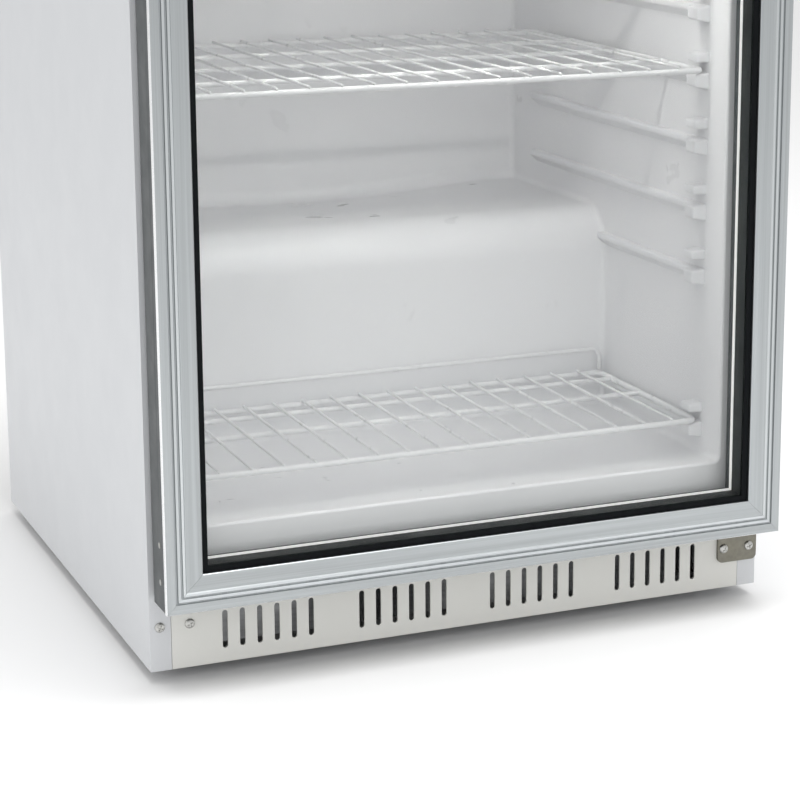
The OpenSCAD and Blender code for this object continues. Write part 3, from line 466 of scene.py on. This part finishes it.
def fillet(path, radius, steps=6):
    """Rounds the inner corners of an open path of points."""
    points = [Vector(p) for p in path]
    out = [points[0]]
    for before, corner, after in zip(points, points[1:], points[2:]):
        a = (before - corner).normalized()
        b = (after - corner).normalized()
        half = a.angle(b) / 2
        room = min((before - corner).length, (after - corner).length) * 0.49
        cut = min(radius / math.tan(half), room)
        r = cut * math.tan(half)
        centre = corner + (a + b).normalized() * (r / math.sin(half))
        start, end = corner + a * cut - centre, corner + b * cut - centre
        turn = start.angle(end)
        for k in range(steps + 1):
            t = k / steps
            spoke = start * math.sin((1 - t) * turn) + end * math.sin(t * turn)
            out.append(centre + spoke / math.sin(turn))
    out.append(points[-1])
    return out


def rounded_loop(x0, x1, y0, y1, z, r, steps=6):
    """Level rectangle with rounded corners, as a closed list of points."""
    out = []
    quarters = ((x1 - r, y1 - r, 0), (x0 + r, y1 - r, 90), (x0 + r, y0 + r, 180), (x1 - r, y0 + r, 270))
    for cx, cy, start in quarters:
        for k in range(steps + 1):
            a = math.radians(start + 90 * k / steps)
            out.append((cx + r * math.cos(a), cy + r * math.sin(a), z))
    return out


def lathe(bm, profile, centre, axis, sides=32):
    """Turns a profile of (radius, distance along the axis) round an axis through centre."""
    axis = Vector(axis).normalized()
    side = axis.orthogonal().normalized()
    other = axis.cross(side)
    rings = []
    for r, along in profile:
        base = Vector(centre) + axis * along
        if r <= 0:
            rings.append([bm.verts.new(base)])
            continue
        ring = []
        for k in range(sides):
            a = 2 * math.pi * k / sides
            ring.append(bm.verts.new(base + (side * math.cos(a) + other * math.sin(a)) * r))
        rings.append(ring)
    for a, b in zip(rings, rings[1:]):
        for k in range(sides):
            n = (k + 1) % sides
            if len(a) == 1:
                bm.faces.new((a[0], b[n], b[k]))
            elif len(b) == 1:
                bm.faces.new((a[k], a[n], b[0]))
            else:
                bm.faces.new((a[k], a[n], b[n], b[k]))


def block(bm, low, high):
    """Box between two corners."""
    low, high = Vector(low), Vector(high)
    made = bmesh.ops.create_cube(bm, size=1.0)
    bmesh.ops.scale(bm, vec=high - low, verts=made["verts"])
    bmesh.ops.translate(bm, vec=(low + high) / 2, verts=made["verts"])


def frame_ring(bm, section, half_w, z0, z1):
    """Sweeps a closed section of (inset, depth) round a rectangle with mitred corners."""
    corners = ((-1, -1), (1, -1), (1, 1), (-1, 1))
    rings = []
    for sx, sz in corners:
        ring = []
        for inset, y in section:
            z = z0 + inset if sz < 0 else z1 - inset
            ring.append(bm.verts.new((sx * (half_w - inset), y, z)))
        rings.append(ring)
    count = len(section)
    for i in range(4):
        a, b = rings[i], rings[(i + 1) % 4]
        for k in range(count):
            n = (k + 1) % count
            bm.faces.new((a[k], a[n], b[n], b[k]))


# ---------------------------------------------------------------- places taken from the CAD

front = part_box("side_panel_right")[0].y
liner_low, liner_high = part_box("liner")
door_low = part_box("door_rail_bottom")[0]
door_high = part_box("door_rail_top")[1]
door_half_w = -door_low.x
door_face = door_low.y


# ---------------------------------------------------------------- liner

CAVITY_HALF = 258 * MM
CAVITY_FLOOR = 139 * MM
CAVITY_TOP = 740 * MM
CAVITY_DEPTH = 478 * MM
HUMP_Y = 248 * MM
HUMP_TOP = 341 * MM
HUMP_R = 40 * MM
CORNER_R = 15 * MM
SIDE_R = 6 * MM
FLARE_R = 3 * MM
LEDGE_Y = 290 * MM
FALL_SIDE = 1 * MM
FALL_MIDDLE = 12 * MM
TROUGH_BOTTOM = 75 * MM
TROUGH_BLEND = 20 * MM
TROUGH_HALF = 220 * MM
DRAIN_Y = 452 * MM
DRAIN_HALF = 9 * MM


def arc(cy, cz, r, start, end, steps):
    out = []
    for k in range(steps + 1):
        a = math.radians(start + (end - start) * k / steps)
        out.append((cy + r * math.cos(a), cz + r * math.sin(a)))
    return out


def ledge_fall(x):
    """How far the ledge has fallen at the back wall: a flat trough that rises to the sides."""
    def climb(x):
        past = x - TROUGH_BOTTOM
        return (past + math.hypot(past, TROUGH_BLEND)) / 2
    share = (climb(min(abs(x), TROUGH_HALF)) - climb(0)) / (climb(TROUGH_HALF) - climb(0))
    return FALL_MIDDLE + (FALL_SIDE - FALL_MIDDLE) * share


def ledge_z(x, y):
    """Height of the ledge, whose fall widens from the middle of its front edge."""
    share = max(0.0, (y - LEDGE_Y) / (CAVITY_DEPTH - LEDGE_Y))
    if share == 0:
        return HUMP_TOP
    return HUMP_TOP - share * ledge_fall(min(abs(x) / share, CAVITY_HALF))


def cavity_section(x, inset):
    """Side view of the cavity at x, shrunk by inset; always the same number of points."""
    back = CAVITY_DEPTH - CORNER_R
    drain_edge = DRAIN_Y - DRAIN_HALF
    slope = math.atan2(ledge_z(x, drain_edge) - ledge_z(x, back), back - drain_edge)
    small = CORNER_R - inset
    points = [(y, CAVITY_FLOOR + inset) for y in (FLARE_R, 60 * MM, 150 * MM)]
    points += arc(HUMP_Y - CORNER_R, CAVITY_FLOOR + CORNER_R, small, 270, 360, 8)
    points += arc(HUMP_Y + HUMP_R, HUMP_TOP - HUMP_R, HUMP_R + inset, 180, 90, 16)
    for y in (LEDGE_Y + 4 * MM, 320 * MM, 350 * MM, 380 * MM, 410 * MM, drain_edge):
        points.append((y, ledge_z(x, y) + inset / math.cos(slope)))
    foot_z = ledge_z(x, back) + CORNER_R / math.cos(slope)
    points += arc(back, foot_z, small, 270 - math.degrees(slope), 360, 8)
    points += arc(back, CAVITY_TOP - CORNER_R, small, 0, 90, 8)
    points += [(150 * MM, CAVITY_TOP - inset), (FLARE_R, CAVITY_TOP - inset)]
    return points


def cavity_stations():
    """Places across the cavity, each with the inset that rounds the corners at its sides."""
    half = []
    for k in range(6):
        a = math.radians(90 - 90 * k / 5)
        half.append((CAVITY_HALF - SIDE_R * (1 - math.sin(a)), SIDE_R * (1 - math.cos(a))))
    half += [(CAVITY_HALF - SIDE_R - k * 20 * MM, 0.0) for k in range(1, 12)]
    half.append((DRAIN_HALF, 0.0))
    return [(-x, inset) for x, inset in half] + half[::-1]


def build_liner():
    bm = bmesh.new()
    columns = []
    for x, inset in cavity_stations():
        columns.append([bm.verts.new((x, front + y, z)) for y, z in cavity_section(x, inset)])
    drain_face = None
    for a, b in zip(columns, columns[1:]):
        for i in range(len(a) - 1):
            face = bm.faces.new((a[i], b[i], b[i + 1], a[i + 1]))
            middle = face.calc_center_median()
            over_drain = abs(middle.x) < DRAIN_HALF / 2 and abs(middle.y - front - DRAIN_Y) < 2 * MM
            if over_drain and middle.z < HUMP_TOP:
                drain_face = face
    bm.faces.new(columns[0])
    bm.faces.new(columns[-1][::-1])
    ring = ordered_boundary(bm)
    centre = Vector((0, 0, (CAVITY_FLOOR + CAVITY_TOP) / 2))
    ring = flare(bm, ring, centre)
    outer = []
    for v in ring:
        d = Vector((v.co.x, 0, v.co.z)) - centre
        reach = []
        if abs(d.x) > 1e-9:
            reach.append(liner_high.x / abs(d.x))
        if d.z > 1e-9:
            reach.append((liner_high.z - centre.z) / d.z)
        if d.z < -1e-9:
            reach.append((liner_low.z - centre.z) / d.z)
        p = centre + d * min(reach)
        outer.append(bm.verts.new((p.x, front, p.z)))
    snap_corners(outer)
    bridge(bm, ring, outer)
    back = [bm.verts.new((v.co.x, front + 1.6 * MM, v.co.z)) for v in outer]
    bridge(bm, outer, back)
    bm.faces.remove(drain_face)
    return bm


def build_drain_collar():
    """Moulded lip round the drain's mouth, square to the sloping ledge."""
    slope = math.atan2(FALL_MIDDLE, CAVITY_DEPTH - LEDGE_Y)
    z = HUMP_TOP - (DRAIN_Y - LEDGE_Y) * math.tan(slope)
    profile = [(13.2, -0.6), (13.2, 0.1), (12.4, 0.7), (10.5, 0.9),
               (8.2, 0.5), (6.8, -0.8), (6.2, -3.0), (6.0, -24.0)]
    bm = bmesh.new()
    lathe(bm, [(r * MM, h * MM) for r, h in profile], (0, front + DRAIN_Y, z),
          (0, math.sin(slope), math.cos(slope)), 40)
    return bm


def ordered_boundary(bm):
    edges = [e for e in bm.edges if e.is_boundary]
    start = edges[0].verts[0]
    ring, previous, here = [start], None, start
    while True:
        onward = [e.other_vert(here) for e in here.link_edges if e.is_boundary]
        following = onward[0] if onward[0] is not previous else onward[1]
        if following is start:
            return ring
        ring.append(following)
        previous, here = here, following


def bridge(bm, a, b):
    count = len(a)
    for i in range(count):
        n = (i + 1) % count
        bm.faces.new((a[i], a[n], b[n], b[i]))


def flare(bm, ring, centre, steps=4):
    """Rounds the mouth of the cavity outwards on to the flange."""
    count = len(ring)
    outward = []
    for i in range(count):
        t = (ring[(i + 1) % count].co - ring[i - 1].co)
        n = Vector((t.z, 0, -t.x)).normalized()
        if n.dot(ring[i].co - centre) < 0:
            n.negate()
        outward.append(n)
    last = ring
    for k in range(1, steps + 1):
        a = math.radians(90 * k / steps)
        made = []
        for v, n in zip(ring, outward):
            p = v.co + n * FLARE_R * (1 - math.cos(a))
            made.append(bm.verts.new((p.x, front + FLARE_R * (1 - math.sin(a)), p.z)))
        bridge(bm, last, made)
        last = made
    return last


def snap_corners(loop):
    """Moves the loop's nearest points on to the flange's corners, so that it ends square."""
    for x in (-liner_high.x, liner_high.x):
        for z in (liner_low.z, liner_high.z):
            near = min(loop, key=lambda v: (v.co.x - x) ** 2 + (v.co.z - z) ** 2)
            near.co.x = x
            near.co.z = z


RAIL_OUT = 8 * MM
NUB_OUT = 14 * MM
LOW_RAIL = 169 * MM
FIRST_RAIL = 318 * MM
RAIL_PITCH = 62 * MM
RAIL_COUNT = 7
RAIL_FRONT = 36 * MM
RAIL_BACK = 416 * MM
NUB_FRONT = 35 * MM
NUB_BACK = 53 * MM
RAIL_EDGE_R = 1.6 * MM
NUB_EDGE_R = 2.0 * MM


def prism(bm, outline, y0, y1, side, edge_r):
    """Moulded ridge on a side wall: an outline of (X, Z) run along Y, with rounded edges."""
    a = [bm.verts.new((side * x, front + y0, z)) for x, z in outline]
    b = [bm.verts.new((side * x, front + y1, z)) for x, z in outline]
    faces = [bm.faces.new(a), bm.faces.new(b[::-1])]
    count = len(outline)
    for i in range(count):
        n = (i + 1) % count
        faces.append(bm.faces.new((a[i], b[i], b[n], a[n])))
    wall = max(x for x, z in outline)
    soft = {e for f in faces for e in f.edges if min(abs(v.co.x) for v in e.verts) < wall - 1e-5}
    bmesh.ops.bevel(bm, geom=list(soft), offset=edge_r, segments=3, profile=0.5, affect="EDGES")


def build_rails():
    bm = bmesh.new()
    wall = CAVITY_HALF + 0.6 * MM
    inner = CAVITY_HALF - RAIL_OUT
    tip = CAVITY_HALF - NUB_OUT
    heights = [(LOW_RAIL, HUMP_Y - 8 * MM)]
    for i in range(RAIL_COUNT):
        z = FIRST_RAIL + i * RAIL_PITCH
        heights.append((z, HUMP_Y + 1.5 * MM if z < HUMP_TOP else RAIL_BACK))
    for side in (-1, 1):
        for z, back in heights:
            prism(bm, [(wall, z), (inner, z - 0.6 * MM), (inner, z - 6 * MM), (wall, z - 14 * MM)],
                  RAIL_FRONT, back, side, RAIL_EDGE_R)
            prism(bm, [(wall, z - 0.2 * MM), (tip, z - 1.4 * MM), (tip, z - 13 * MM), (wall, z - 16 * MM)],
                  NUB_FRONT, NUB_BACK, side, NUB_EDGE_R)
            prism(bm, [(wall, z + 9 * MM), (tip, z + 10 * MM), (tip, z + 18 * MM), (wall, z + 19 * MM)],
                  NUB_FRONT, NUB_BACK, side, NUB_EDGE_R)
    return bm


liner = make_object("liner_shell", build_liner(), "liner_white", "cabinet", "liner", smooth=40)
floor_face = min(liner.data.polygons, key=lambda face: abs(face.center.z - CAVITY_FLOOR))
if floor_face.normal.z < 0:
    liner.data.flip_normals()
skin = liner.modifiers.new("thickness", "SOLIDIFY")
skin.thickness = 1.4 * MM
skin.offset = -1
even_normals(liner)
even_normals(make_object("liner_rails", build_rails(), "liner_white", "cabinet", smooth=50))
make_object("drain_collar", build_drain_collar(), "liner_white", "cabinet", smooth=60)


# ---------------------------------------------------------------- wire shelves

SHELF_HALF = 253 * MM
SHELF_FRONT = front + 33 * MM
SHORT_BACK = front + 239 * MM
LONG_BACK = front + 410 * MM
FRAME_WIRE_R = 2.8 * MM
CROSS_WIRE_R = 2.5 * MM
LONG_WIRE_R = 1.4 * MM
LONG_WIRES = 16
LONG_PITCH = 29.9 * MM
STOP_HALF = 249 * MM
STOP_WIRE_R = 2.2 * MM


def build_shelf(rail_z, back, cross_ys):
    """Wire shelf: a frame loop, cross wires inside it and long wires welded on top."""
    bm = bmesh.new()
    z = rail_z + FRAME_WIRE_R
    side = SHELF_HALF - FRAME_WIRE_R
    loop_tube(bm, rounded_loop(-side, side, SHELF_FRONT, back, z, 9 * MM), FRAME_WIRE_R)
    top = z + FRAME_WIRE_R + 1.1 * MM
    for i in range(LONG_WIRES):
        x = (i - (LONG_WIRES - 1) / 2) * LONG_PITCH + random.uniform(-0.2, 0.2) * MM
        sweep(bm, [(x, SHELF_FRONT - 1.2 * MM, top - 0.3 * MM), (x, SHELF_FRONT + 4 * MM, top),
                   (x, back - 4 * MM, top), (x, back + 0.6 * MM, top)], LONG_WIRE_R, 10)
    reach = SHELF_HALF - 1.5 * MM
    for y in cross_ys:
        sweep(bm, [(-reach, front + y * MM, z), (reach, front + y * MM, z)], CROSS_WIRE_R, 12)
    return bm


shelves = {
    "shelf_bottom": (SHORT_BACK, (148, 210)),
    "shelf_middle": (LONG_BACK, (112, 212, 312)),
    "shelf_top": (LONG_BACK, (112, 212, 312)),
}
for shelf, (back, cross_ys) in shelves.items():
    bm = build_shelf(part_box(shelf)[0].z, back, cross_ys)
    make_object(shelf + "_wires", bm, "wire_white", "cabinet", shelf, smooth=60)

stop_low, stop_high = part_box("shelf_bottom_stop")
low_z = stop_low.z + 1 * MM
high_z = stop_high.z - 2 * MM
bm = bmesh.new()
sweep(bm, fillet([(-STOP_HALF, SHORT_BACK, low_z), (-STOP_HALF, SHORT_BACK, high_z),
                  (STOP_HALF, SHORT_BACK, high_z), (STOP_HALF, SHORT_BACK, low_z)], 9 * MM), STOP_WIRE_R)
make_object("shelf_stop_wire", bm, "wire_white", "cabinet", "shelf_bottom_stop", smooth=60)


# ---------------------------------------------------------------- door gaskets and spacer

# Sections are points of (distance in from the door's edge, depth)
g0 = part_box("door_gasket")[0].y
g1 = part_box("door_gasket")[1].y
u0 = 15 * MM
u1 = 30 * MM
bellows = [(u0 + 3 * MM, g0), (u1 - 3 * MM, g0),
           (u1 - 4.5 * MM, g0 + 1.6 * MM), (u1 - 1 * MM, g0 + 3.2 * MM),
           (u1, g0 + 4.6 * MM), (u1 - 0.6 * MM, g1 - 0.5 * MM), (u1 - 2 * MM, g1), (u0 + 2 * MM, g1),
           (u0 + 0.6 * MM, g1 - 0.5 * MM), (u0, g0 + 4.6 * MM), (u0 + 1 * MM, g0 + 3.2 * MM),
           (u0 + 4.5 * MM, g0 + 1.6 * MM)]
bm = bmesh.new()
frame_ring(bm, bellows, door_half_w, door_low.z, door_high.z)
make_object("door_gasket_bellows", bm, "gasket_grey", "door", "door_gasket", smooth=50)

bead_low, bead_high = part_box("glazing_gasket")
bead_u = door_half_w - bead_high.x
bead_w = 5.45 * MM
b0 = bead_low.y
b1 = bead_high.y
bead = [(bead_u, b1), (bead_u, b0 + 0.2 * MM), (bead_u + 0.3 * MM, b0), (bead_u + 2.4 * MM, b0 + 0.05 * MM),
        (bead_u + 4.4 * MM, b0 + 0.35 * MM), (bead_u + bead_w, b1 - 0.1 * MM), (bead_u + bead_w, b1)]
bm = bmesh.new()
frame_ring(bm, bead, door_half_w, door_low.z, door_high.z)
make_object("glazing_bead", bm, "black_rubber", "door", "glazing_gasket", smooth=50)

# Edge of the spacer's foil against the inner pane, made to glow faintly as a painted highlight
spacer_low, spacer_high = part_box("spacer_bar")
edge_u = door_half_w - spacer_high.x + 12.5 * MM
e0 = spacer_high.y - 1.5 * MM
e1 = spacer_high.y - 0.05 * MM
foil = [(edge_u - 0.6 * MM, e1), (edge_u - 0.6 * MM, e0), (edge_u + 1.5 * MM, e0),
        (edge_u + 1.9 * MM, e0 + 0.4 * MM), (edge_u + 1.9 * MM, e1)]
bm = bmesh.new()
frame_ring(bm, foil, door_half_w, door_low.z, door_high.z)
make_object("spacer_foil_edge", bm, "glowing_spacer_highlight", "door", slot_name="spacer", smooth=50)


# ---------------------------------------------------------------- screws with a cross recess

def screw_mesh():
    """Pan-head screw along +Y with its head's underside at the origin."""
    head_r, head_h = 4.6 * MM, 2.4 * MM
    bm = bmesh.new()
    profile = [(0, -head_h)]
    for k in range(1, 9):
        a = math.radians(90 * k / 8)
        profile.append((head_r * math.sin(a) ** 0.9, -head_h * math.cos(a) ** 0.8))
    profile += [(head_r, 0), (2 * MM, 0), (2 * MM, 14 * MM), (0, 14.6 * MM)]
    lathe(bm, profile, (0, 0, 0), (0, 1, 0), 40)
    bmesh.ops.recalc_face_normals(bm, faces=bm.faces[:])
    mesh = bpy.data.meshes.new("pan_head")
    bm.to_mesh(mesh)
    bm.free()
    head = bpy.data.objects.new("pan_head_blank", mesh)
    bm = bmesh.new()
    arm, wide, deep = 2.7 * MM, 0.5 * MM, 1.5 * MM
    for across, up in ((arm, wide), (wide, arm)):
        block(bm, (-across, -head_h - 1 * MM, -up), (across, -head_h + deep, up))
    bmesh.ops.recalc_face_normals(bm, faces=bm.faces[:])
    cutter_mesh = bpy.data.meshes.new("cross_cutter")
    bm.to_mesh(cutter_mesh)
    bm.free()
    cutter = bpy.data.objects.new("cross_cutter", cutter_mesh)
    for o in (head, cutter):
        scene.collection.objects.link(o)
    cut = head.modifiers.new("recess", "BOOLEAN")
    cut.object = cutter
    cut.operation = "DIFFERENCE"
    cut.solver = "EXACT"
    cut.use_self = True
    graph = bpy.context.evaluated_depsgraph_get()
    done = bpy.data.meshes.new_from_object(head.evaluated_get(graph))
    for o in (head, cutter):
        bpy.data.objects.remove(o)
    return done


SCREW = screw_mesh()


def place_screws(node, label, spots):
    """One screw object for each spot; together they stand for the CAD node."""
    for i, (x, y, z, turn) in enumerate(spots):
        obj = bpy.data.objects.new(f"{label}_{i + 1}", SCREW.copy())
        scene.collection.objects.link(obj)
        obj.data.transform(Matrix.Translation((x, y, z)) @ Matrix.Rotation(math.radians(turn), 4, "Y"))
        finish_surface(obj, "bright_screw", 40)
        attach(obj, "cabinet")
        if i == 0:
            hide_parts(node)


SCREW_XS = (264 * MM, 291 * MM)
SCREW_ZS = (52 * MM, 800 * MM)
BRACKET_T = 3 * MM
place_screws("plug_screws", "plug_screw",
             [(-x, front, z, random.uniform(0, 90)) for z in SCREW_ZS for x in SCREW_XS])
place_screws("bracket_screws", "bracket_screw",
             [(x, front - BRACKET_T, z, random.uniform(0, 90)) for z in SCREW_ZS for x in SCREW_XS])


# ---------------------------------------------------------------- CAD nodes that keep their mesh

slot_of = {}
for entry in frame["record"]["subparts"]:
    slot_of[entry["node"]] = entry["material_slot"]

# Radius of the broken edges, in millimetres
EDGE_WIDTH = {
    "side_panel_left": 0.5, "side_panel_right": 0.5, "worktop": 3.0, "control_fascia": 2.0,
    "door_stile_left": 0.12, "door_stile_right": 0.12, "door_rail_bottom": 0.12, "door_rail_top": 0.12,
    "door_inner_frame": 0.6, "thermometer_bezel": 0.8, "thermometer_window": 0.4, "thermostat_knob": 0.8,
    "switch_housing": 0.7, "switch_rocker": 0.6, "lock_housing": 0.6, "lock_barrel": 0.4,
    "evaporator_cover": 0.5, "lamp_housing": 1.0, "inlet_box": 1.5, "drip_tray": 0.8,
    "plinth_grille": 0.35, "lower_hinge_bracket": 0.6, "upper_hinge_bracket": 0.6,
}
UPRIGHT = ("door_stile_left", "door_stile_right")
DOOR_FRAME = UPRIGHT + ("door_rail_bottom", "door_rail_top")
# Distances in from the door's edge, in millimetres
OUTER_CORNER = 0.7
RIDGES = ((10.7, 12.9), (15.3, 17.3))
GROOVES = ((8.6, 10.5), (13.1, 15.1))


def paint_ridge_light_and_shade(obj, name):
    """Painted highlight on the outer corner and ridges, and painted shade in the grooves, as materials of
    single faces.
    """
    obj.data.materials.append(MATERIALS["highlit_upright_ridges" if name in UPRIGHT else "highlit_level_ridges"])
    obj.data.materials.append(MATERIALS["painted_shade_groove"])
    obj.data.materials.append(MATERIALS["painted_highlight_corner"])
    for face in obj.data.polygons:
        place = obj.matrix_world @ face.center
        if name in UPRIGHT:
            inset = (door_half_w - abs(place.x)) / MM
        else:
            inset = min(place.z - door_low.z, door_high.z - place.z) / MM
        # Outer corner gets the painted highlight
        if inset < OUTER_CORNER:
            face.material_index = 3
        elif place.y > door_face + 2 * MM:
            continue
        # Ridges get the painted highlight
        elif any(low < inset < high for low, high in RIDGES):
            face.material_index = 1
        # Grooves get the painted shade
        elif any(low < inset < high for low, high in GROOVES):
            face.material_index = 2


for name, obj in nodes.items():
    if obj.hide_render:
        continue
    slot_name = slot_of[name]
    material = "upright_aluminium" if name in UPRIGHT else slot_name
    finish_surface(obj, material)
    if name in EDGE_WIDTH:
        rounded(obj, EDGE_WIDTH[name] * MM)
    if name in DOOR_FRAME:
        paint_ridge_light_and_shade(obj, name)


# ---------------------------------------------------------------- studio

FLOOR_HALF = 14.0
WORLD_LIGHT = 0.82
SIDE_WATTS = 5
TOP_WATTS = 85
CAVITY_WATTS = 0.44

floor_bm = bmesh.new()
bmesh.ops.create_grid(floor_bm, x_segments=1, y_segments=1, size=FLOOR_HALF)
floor_mesh = bpy.data.meshes.new("studio_floor")
floor_bm.to_mesh(floor_mesh)
floor_bm.free()
floor = bpy.data.objects.new("studio_floor", floor_mesh)
scene.collection.objects.link(floor)
floor_shader = Shader("studio_floor", (0.93, 0.93, 0.93), 0.7, specular=0.2)
floor_shader.tint(floor_shader.noise(1.5), (0.91, 0.91, 0.91), 0.5)
floor_shader.bump(floor_shader.noise(40.0), 0.0002)
floor.data.materials.append(floor_shader.mat)

world = bpy.data.worlds.new("studio")
scene.world = world
world.use_nodes = True
world.node_tree.nodes["Background"].inputs["Color"].default_value = (1, 1, 1, 1)
world.node_tree.nodes["Background"].inputs["Strength"].default_value = WORLD_LIGHT


def softbox(name, place, target, size, power):
    light = bpy.data.lights.new(name, "AREA")
    light.shape = "RECTANGLE"
    light.size, light.size_y = size
    light.energy = power
    obj = bpy.data.objects.new(name, light)
    scene.collection.objects.link(obj)
    obj.location = place
    obj.rotation_euler = (Vector(target) - Vector(place)).to_track_quat("-Z", "Y").to_euler()


softbox("side_softbox", (-3.6, -1.6, 1.5), (0, 0, 0.4), (1.8, 1.8), SIDE_WATTS)
softbox("top_softbox", (0.2, -0.9, 3.8), (0, -0.1, 0.5), (2.6, 2.0), TOP_WATTS)
# Even light that fills the cavity, shining inwards from just behind the door's glass
inner_low, inner_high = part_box("door_inner_frame")
fill_z = (inner_low.z + inner_high.z) / 2
softbox("cavity_fill", (0, front - 15 * MM, fill_z), (0, front + 1, fill_z), (0.515, 0.61), CAVITY_WATTS)

CAMERA_PLACE = (-0.812, -2.141, 0.769)
YAW = math.radians(23.38)
PITCH = math.radians(12.78)
LENS = 107.2
SHIFT = -0.1

camera_data = bpy.data.cameras.new("camera")
camera = bpy.data.objects.new("camera", camera_data)
scene.collection.objects.link(camera)
camera_data.sensor_width = 36
camera_data.lens = LENS
camera_data.shift_x = SHIFT
camera_data.shift_y = SHIFT
camera_data.clip_start = 0.05
camera_data.clip_end = 60
forward = Vector((math.sin(YAW) * math.cos(PITCH), math.cos(YAW) * math.cos(PITCH), -math.sin(PITCH)))
right = Vector((math.cos(YAW), -math.sin(YAW), 0))
up = right.cross(forward)
pose = Matrix((right, up, -forward)).transposed().to_4x4()
pose.translation = CAMERA_PLACE
camera.matrix_world = pose
scene.camera = camera
scene.view_settings.view_transform = "Standard"
